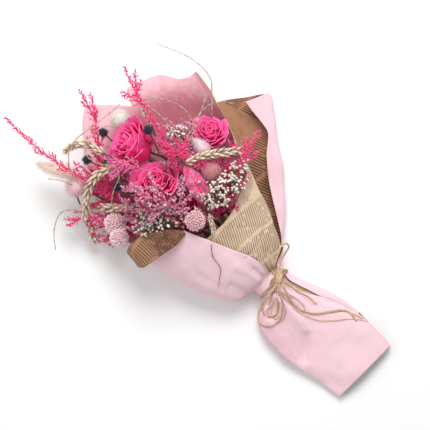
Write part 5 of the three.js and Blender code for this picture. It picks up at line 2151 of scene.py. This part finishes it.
@dataclass
class CurlyTwig(Head):
    """A thin bent twig with small knots along it."""

    points: tuple = ()
    thickness: float = 1.3
    knot: float = 0.12
    knot_pitch: float = 7.0

    def fill(self) -> None:
        """Adds the rod."""
        line = spline(self.points, 1.6)
        share = np.linspace(0, 1, len(line))
        knots = self.knot * np.abs(np.sin(share * run_length(line) / self.knot_pitch)) ** 12
        rod = tube(line, self.thickness / 2 * (1.0 - 0.45 * share) + knots, 7)
        self.shape.add(rod, 0, tone=0.5 + 0.3 * np.sin(np.arange(len(rod[0])) * 0.21))


def roses() -> list[Head]:
    """Lists the roses and the crimson bloom.

    Returns:
        The heads, in the order in which they are built.
    """
    kind = {"slot": "rose_petals", "finishes": (ROSE, CALYX)}
    return [
        Rose("rose_1", **kind, seed=1, centre=(193.5, -1, 51), axis=(0.76, 0.3, 0.57), size=25),
        Rose("rose_2", **kind, seed=2, centre=(150.5, 12.5, 55), axis=(0.42, -0.3, 0.85), size=22),
        Rose("rose_3", **kind, seed=3, centre=(148.5, -61, 50), axis=(0.4, -0.32, 0.86), size=18),
        Rose(
            "crimson_bloom", "crimson_petals", (CRIMSON_PETAL, CALYX), seed=4, centre=(112, 4, 55),
            axis=(0.3, 0.1, 0.94), size=10, petals=9,
        ),
    ]


def wheat_ears() -> list[Head]:
    """Lists the ears of wheat.

    Returns:
        The heads, in the order in which they are built.
    """
    ears = (
        (((194, 30, 67), (200, 44, 63), (197, 60, 56), (189, 74, 48), (181, 84, 40)), 11.0),
        (((212, 27, 62), (226, 31, 60), (237, 40, 55), (240, 51, 49)), 11.0),
        (((156, 48, 44), (168, 60, 40), (180, 71, 33), (188, 78, 28)), 11.0),
        (((176, 86, 23), (166, 91, 19), (156, 95, 16)), 11.0),
        (((146, -26, 78), (139, -41, 78), (128, -56, 75), (119, -68, 70)), 11.0),
        (((198, -27, 69), (206, -30, 71), (213, -32, 71)), 7.0),
        (((92, -4, 70), (85, 0, 70), (79, 4, 70)), 7.0),
    )
    return [
        WheatEar(f"wheat_{i + 1}", "wheat", (WHEAT, PALE_STALK), seed=70 + i, points=points, width=width)
        for i, (points, width) in enumerate(ears)
    ]


def tufted_heads() -> list[Head]:
    """Lists the bunny tails, the globe flowers and the thistles.

    Returns:
        The heads, in the order in which they are built.
    """
    cream = {"slot": "cream_tail", "finishes": (CREAM_TAIL, PALE_STALK)}
    dusty = {"slot": "dusty_tail", "finishes": (DUSTY_TAIL, PALE_STALK)}
    rosy = {"slot": "dusty_tail", "finishes": (ROSY_TAIL, PALE_STALK)}
    white = {"slot": "cream_tail", "finishes": (WHITE_TAIL, PALE_STALK)}
    peach = {"slot": "cream_tail", "finishes": (PEACH_PLUME, PALE_STALK)}
    globe = {
        "slot": "dusty_tail", "finishes": (GLOBE, PALE_STALK), "tuft": Tuft.BEADS,
        "reach": 0.16, "count": 320,
    }
    pale_globe = {**globe, "finishes": (PALE_GLOBE, PALE_STALK), "reach": 0.34, "count": 420}
    blue = {"slot": "thistle_blue", "finishes": (THISTLE, PALE_STALK), "tuft": Tuft.SPINES, "count": 90}
    sage = {"slot": "thistle_sage", "finishes": (SAGE, PALE_STALK), "tuft": Tuft.SPINES, "count": 90}
    return [
        TuftedHead(
            "bunny_tail_white", **white, base=(137, -46, 65), tip=(157, -46, 70),
            width=15, reach=0.3, seed=11, pointed=0.8,
        ),
        TuftedHead(
            "bunny_tail_rose", **rosy, base=(118, -37, 60), tip=(126, -36, 79),
            width=18, reach=0.05, seed=12, count=2400,
        ),
        TuftedHead(
            "bunny_tail_plume", **peach, base=(214, 61, 40), tip=(252, 82, 37), width=13, reach=0.6, seed=13,
            count=800, pointed=0.5,
        ),
        TuftedHead(
            "bunny_tail_dusty", **dusty, base=(203, 68, 32), tip=(212, 71, 46),
            width=17, reach=0.45, seed=14, count=900,
        ),
        TuftedHead(
            "bunny_tail_cream", **cream, base=(220, -8, 25), tip=(228, -10, 37),
            width=17, reach=0.25, seed=15,
        ),
        TuftedHead("globe_flower_1", **globe, base=(96, 10, 65), tip=(102, 9, 77), width=17, seed=21),
        TuftedHead("globe_flower_2", **pale_globe, base=(151, 66, 30), tip=(157, 71, 42), width=16, seed=22),
        TuftedHead("globe_flower_3", **pale_globe, base=(140, 72, 37), tip=(141, 79, 48), width=14, seed=23),
        TuftedHead("thistle_1", **blue, base=(222, 12, 55), tip=(230, 12, 62), width=8, reach=0.4, seed=31),
        TuftedHead("thistle_2", **blue, base=(215, 42, 46), tip=(222, 44, 51), width=8, reach=0.4, seed=32),
        TuftedHead("thistle_3", **sage, base=(202, 28, 44), tip=(210, 30, 49), width=9, reach=0.35, seed=33),
        TuftedHead("thistle_4", **blue, base=(192, -20, 78), tip=(199, -22, 84), width=8, reach=0.4, seed=34),
        TuftedHead("thistle_5", **blue, base=(175, 40, 55), tip=(180, 42, 62), width=8, reach=0.4, seed=35),
    ]


def sprays() -> list[Head]:
    """Lists the pink and crimson grasses and the sea lavender.

    Returns:
        The heads, in the order in which they are built.
    """
    pink = {"slot": "pink_grass", "finishes": (PINK_GRASS,)}
    red = {"slot": "crimson_grass", "finishes": (CRIMSON_GRASS,), "thick": 2.0}
    mauve = {
        "slot": "mauve_lavender", "finishes": (LAVENDER,), "thick": 1.6, "pitch": 2.2,
        "offshoot_pitch": 10.0, "offshoot_length": 21.0, "spikelet": Spikelet.FLORETS,
    }
    return [
        Spray(
            "pink_spray_1", **pink, seed=41, reach=6.5, offshoot_length=11,
            arms=(((200, 57, 51), (226, 63, 53), (256, 69, 51), (284, 71, 48), (306, 71, 44)),),
        ),
        Spray(
            "pink_spray_2", **pink, seed=42, reach=6.5, offshoot_length=11,
            arms=(
                ((214, 30, 53), (236, 12, 53), (250, 2, 51), (262, -6, 49)),
                ((238, 10, 53), (256, 4, 55), (272, -1, 51)),
            ),
            twigs=(
                ((206, 30, 48), (222, 25, 50), (239, 17, 50)), ((204, 34, 46), (220, 33, 48), (234, 28, 48)),
                ((204, 52, 46), (215, 52, 48), (226, 54, 48)),
            ),
        ),
        Spray(
            "pink_spray_3", **pink, seed=43, reach=6.5, offshoot_length=11,
            arms=(
                ((172, -24, 74), (200, -32, 77), (222, -37, 76), (242, -43, 72), (257, -49, 69)),
                ((216, -36, 77), (228, -33, 77), (240, -30, 77)),
                ((228, -39, 75), (238, -46, 74), (246, -53, 72)),
            ),
            twigs=(
                ((143, -16, 74), (158, -18, 77), (176, -24, 77)),
                ((150, -12, 74), (164, -17, 77), (180, -19, 76)),
            ),
        ),
        Spray(
            "pink_spray_4", **pink, seed=44, reach=7,
            arms=(
                ((106, -60, 65), (110, -74, 67), (113, -86, 65), (117, -98, 62)),
                ((108, -68, 66), (118, -71, 69), (130, -70, 69)),
            ),
        ),
        Spray(
            "pink_spray_5", "pink_grass", (PALE_GRASS,), seed=45, dressed_stalk=0,
            arms=(
                ((172, 10, 77), (184, 17, 77), (196, 25, 76), (209, 30, 72)),
                ((178, 14, 77), (186, 26, 76), (192, 36, 72)),
            ),
        ),
        Spray(
            "pink_spray_6", **pink, seed=46,
            arms=(
                ((142, -32, 78), (156, -26, 81), (170, -23, 81), (184, -20, 78)),
                ((152, -28, 80), (162, -33, 79), (174, -35, 77)),
            ),
        ),
        Spray(
            "pink_spray_7", **pink, seed=49, reach=7,
            arms=(((172, 78, 32), (182, 90, 30), (192, 101, 26)),),
        ),
        Spray(
            "red_spray_1", **red, seed=47,
            arms=(
                ((96, -36, 65), (108, -46, 67), (118, -58, 67), (120, -68, 65)),
                ((98, -37, 63), (110, -40, 63), (122, -46, 64)),
                ((98, -40, 65), (98, -52, 67), (100, -64, 65)),
            ),
            twigs=(
                ((84, -10, 50), (96, -7, 58), (110, -6, 64)), ((84, -16, 50), (94, -14, 57), (105, -14, 62)),
                ((84, -30, 52), (92, -38, 59), (104, -46, 65)), ((84, -4, 50), (92, 0, 56), (102, 2, 60)),
            ),
        ),
        Spray(
            "red_spray_2", **red, seed=48, reach=9,
            arms=(
                ((124, 54, 37), (142, 66, 28), (158, 78, 25), (172, 88, 23)),
                ((132, 60, 33), (144, 80, 25), (152, 92, 19)), ((128, 56, 35), (146, 60, 33), (164, 66, 30)),
            ),
            twigs=(
                ((88, 14, 40), (112, 24, 62), (134, 26, 76), (156, 22, 80)),
                ((92, 16, 42), (118, 34, 60), (138, 36, 74), (158, 34, 78)),
                ((90, 10, 42), (112, 12, 62), (132, 14, 76), (146, 20, 80)),
                ((138, 66, 30), (154, 74, 30), (170, 80, 28)), ((136, 72, 28), (150, 84, 26), (163, 92, 22)),
            ),
        ),
        Spray(
            "sea_lavender_1", **mauve, seed=51,
            arms=(
                ((114, 12, 72), (134, 18, 83), (154, 28, 86), (174, 38, 80)),
                ((124, 15, 78), (134, 31, 79), (148, 41, 76)), ((120, 13, 76), (128, -2, 78), (138, -12, 79)),
            ),
            twigs=(
                ((138, 17, 82), (148, 14, 81), (158, 11, 80), (167, 8, 78)),
                ((144, 8, 80), (154, 20, 82), (166, 31, 78)),
            ),
        ),
        Spray(
            "sea_lavender_2", **mauve, seed=52,
            arms=(
                ((140, -34, 63), (160, -34, 69), (174, -38, 69), (188, -42, 67)),
                ((150, -34, 66), (166, -28, 69), (180, -26, 67)),
                ((146, -34, 64), (160, -44, 58), (178, -52, 55)),
            ),
            twigs=(
                ((150, -28, 66), (162, -20, 66), (176, -12, 62)),
                ((146, -30, 64), (154, -16, 66), (164, -7, 66)),
                ((156, -26, 66), (172, -22, 66), (188, -20, 60)),
                ((160, -30, 66), (178, -28, 66), (196, -30, 60)),
            ),
        ),
        Spray(
            "sea_lavender_3", **mauve, seed=53,
            arms=(
                ((114, 36, 56), (134, 42, 60), (150, 44, 58), (168, 46, 53)),
                ((124, 39, 58), (138, 50, 56), (150, 58, 49)), ((118, 36, 56), (124, 48, 55), (130, 60, 49)),
                ((170, 30, 35), (190, 26, 32), (214, 20, 30)),
            ),
        ),
    ]


def fillers() -> list[Head]:
    """Lists the leaf, the fan of strands and the clouds of white florets.

    Returns:
        The heads, in the order in which they are built.
    """
    white = {"slot": "white_florets", "finishes": (BABYS_BREATH, PALE_STALK)}
    return [
        RibbedLeaf(
            "skeleton_leaf", "pink_leaf", (SKELETON_LEAF, LEAF_RIB), base=(104, -12, 67), tip=(146, -22, 74)
        ),
        StrandFan(
            "grass_fan", "crimson_grass", (CRIMSON_GRASS,), seed=50, root=(170, 46, 32),
            tips=((204, 62, 40), (210, 54, 38), (196, 68, 40), (212, 46, 36), (186, 74, 40), (210, 36, 34)),
        ),
        Cluster(
            "gypsophila_1", **white, seed=61, root=(90, -28, 58), middle=(104, -34, 71), radii=(17, 26, 7),
            clear_of=(124, -37), clear_radius=13.0,
        ),
        Cluster(
            "gypsophila_2", **white, seed=62, root=(108, 34, 56), middle=(127, 36, 65), radii=(16, 21, 5),
            florets=13,
        ),
        Cluster(
            "gypsophila_3", **white, seed=63, root=(160, -40, 62), middle=(172, -40, 74), radii=(7, 6, 3),
            florets=4, around=7,
        ),
    ]


def curly_twigs() -> list[Head]:
    """Lists the curly twigs and the loose thread on the flap.

    Returns:
        The heads, in the order in which they are built.
    """
    thread = tuple(on_paper(x, y, 2.4) for x, y in ((71, 15), (62, 22), (48, 25), (42, 32), (36, 40)))
    routes = (
        (
            (180, 62, 46), (204, 66, 55), (222, 62, 59.5), (236, 50, 62), (240, 36, 65), (237, 14, 67),
            (235, -6, 63), (234, -20, 58),
        ),
        (
            (170, 57, 53), (178, 45, 63), (183, 32, 74), (193, 28, 79), (205, 36, 76), (220, 40, 70),
            (229, 32, 72), (232, 20, 74), (225, 2, 74), (216, -4, 76),
        ),
        (
            (136, -52, 32.5), (147, -62, 33), (158, -72, 43), (163, -78, 58), (178, -93, 63), (186, -100, 69),
            (198, -103, 74), (212, -102, 79), (226, -98, 81), (240, -92, 79), (250, -88, 76),
        ),
        ((156, -34, 66), (159, -43, 75), (167, -62, 77), (174, -76, 76), (180, -88, 72)),
        ((160, -36, 66), (166, -53, 71), (171, -70, 74), (170, -82, 76), (164, -92, 76), (154, -100, 72)),
        (
            (158, -61, 56), (174, -60, 67), (186, -61, 72), (200, -57, 76),
            (212, -49, 76), (220, -38, 72), (223, -28, 67),
        ),
        ((164, -37, 79), (180, -38, 81), (192, -40, 81), (207, -39, 79), (220, -36, 79)),
        ((208, 69, 38), (213, 72, 47), (222, 76, 48), (233, 84, 44)),
        (
            (176, 80, 32), (184, 83, 35), (194, 89, 33), (200, 99, 30),
            (196, 112, 25), (188, 122, 19), (178, 130, 14),
        ),
    )
    kind = {"slot": "curly_twig", "finishes": (TWIG,)}
    twigs = [
        CurlyTwig(f"twig_{i + 1}", **kind, seed=80 + i, points=points) for i, points in enumerate(routes)
    ]
    loose = CurlyTwig("twig_10", "curly_twig", (LOOSE_THREAD,), seed=90, points=thread, thickness=1.0)
    return [*twigs, loose]


# Stage


@dataclass(frozen=True)
class Stage:
    """The floor, the lights and the camera that looks straight down, as in the photograph.

    A lamp has a name, a place, a size and a power.
    """

    image: int = 430
    tie_pixel: tuple[float, float] = (272.0, 284.0)
    distance: float = 3.4
    focus_height: float = 0.045
    sensor: float = 36.0
    half_floor: float = 3.0
    floor_drop: float = 0.0005
    floor_grey: float = 0.95
    floor_rough: float = 0.9
    sky: float = 0.5
    lamps: tuple = (("soft box", (0.7, -0.8, 1.3), 1.0, 22.5), ("fill", (0.7, 0.8, 1.2), 1.2, 4.0))

    def aim(self) -> Points:
        """Gives the point of the frame under the middle of the picture.

        Returns:
            The point, in metres.
        """
        right, down = (self.image / 2 - pixel for pixel in self.tie_pixel)
        return metres([-(right + down) / math.sqrt(2), (down - right) / math.sqrt(2), 0.0])

    def put(self, name: str, data: bpy.types.ID, axes: Points, place: Points) -> Piece:
        """Puts a camera or a lamp in the scene.

        Args:
            name: Its name.
            data: The camera or the lamp itself.
            axes: Its axes, as columns.
            place: Where it stands.

        Returns:
            The object.
        """
        matrix = np.eye(4)
        matrix[:3, :3], matrix[:3, 3] = axes, place
        thing = bpy.data.objects.new(name, data)
        thing.matrix_world = Matrix(matrix.tolist())
        bpy.context.scene.collection.objects.link(thing)
        return thing

    def camera(self) -> None:
        """Sets the camera over the bouquet, with one pixel to the millimetre half way up the flowers."""
        data = bpy.data.cameras.new("camera")
        data.sensor_width = self.sensor
        data.lens = self.sensor * self.distance / (self.image / 1000)
        data.clip_end = 20.0
        half = math.sqrt(0.5)
        place = self.aim() + [0.0, 0.0, self.focus_height + self.distance]
        axes = [[-half, half, 0.0], [-half, -half, 0.0], [0.0, 0.0, 1.0]]
        bpy.context.scene.camera = self.put("camera", data, axes, place)

    def light(self, name: str, place: tuple, size: float, power: float) -> None:
        """Adds a soft light that faces the bouquet.

        Args:
            name: The lamp's name.
            place: Where it hangs.
            size: How wide it is.
            power: How strong it is.
        """
        data = bpy.data.lights.new(name, "AREA")
        data.shape, data.size, data.energy = "DISK", size, power
        self.put(name, data, frame_along(place)[[1, 2, 0]].T, place)

    def floor(self) -> None:
        """Adds the plain pale floor."""
        mesh = bpy.data.meshes.new("floor")
        half, grey = self.half_floor, self.floor_grey
        corners = [(-half, -half, 0), (half, -half, 0), (half, half, 0), (-half, half, 0)]
        mesh.from_pydata(corners, [], [(0, 1, 2, 3)])
        material = bpy.data.materials.new("Pale floor")
        material.use_nodes = True
        shader = material.node_tree.nodes["Principled BSDF"]
        shader.inputs["Base Color"].default_value = (grey, grey, grey, 1.0)
        shader.inputs["Roughness"].default_value = self.floor_rough
        mesh.materials.append(material)
        floor = bpy.data.objects.new("floor", mesh)
        floor.location.z = -self.floor_drop
        bpy.context.scene.collection.objects.link(floor)

    def build(self) -> None:
        """Builds the floor, the sky and the lights."""
        self.floor()
        bpy.context.scene.view_settings.view_transform = "Standard"
        world = bpy.data.worlds.new("studio")
        world.use_nodes = True
        sky = world.node_tree.nodes["Background"]
        sky.inputs["Color"].default_value = (1.0, 1.0, 1.0, 1.0)
        sky.inputs["Strength"].default_value = self.sky
        bpy.context.scene.world = world
        for lamp in self.lamps:
            self.light(*lamp)


def main() -> None:
    """Builds the stage and every piece."""
    logging.basicConfig(level=logging.INFO, format="%(message)s")
    stage = Stage()
    stage.camera()
    pieces = [run.build() for run in TWINE_RUNS]
    stage.build()
    papers = (
        OuterPaper("outer_paper", "outer_wrap", "pink_paper", kraft=BOLD_KRAFT_PAPER_IN_PAINTED_SHADE),
        InnerPaper("inner_paper", "inner_wrap", "kraft_paper", pink=PINK_PAPER_IN_PAINTED_SHADE),
    )
    pieces += [paper.build() for paper in papers]
    pieces += [TwineBinding().build(), STEMS.build()]
    heads = [*roses(), *wheat_ears(), *tufted_heads(), *sprays(), *fillers(), *curly_twigs()]
    pieces += [head.build() for head in heads]
    for piece in pieces:
        LOG.info("%s: %d faces", piece.name, len(piece.data.polygons))


if __name__ == "__main__":
    main()
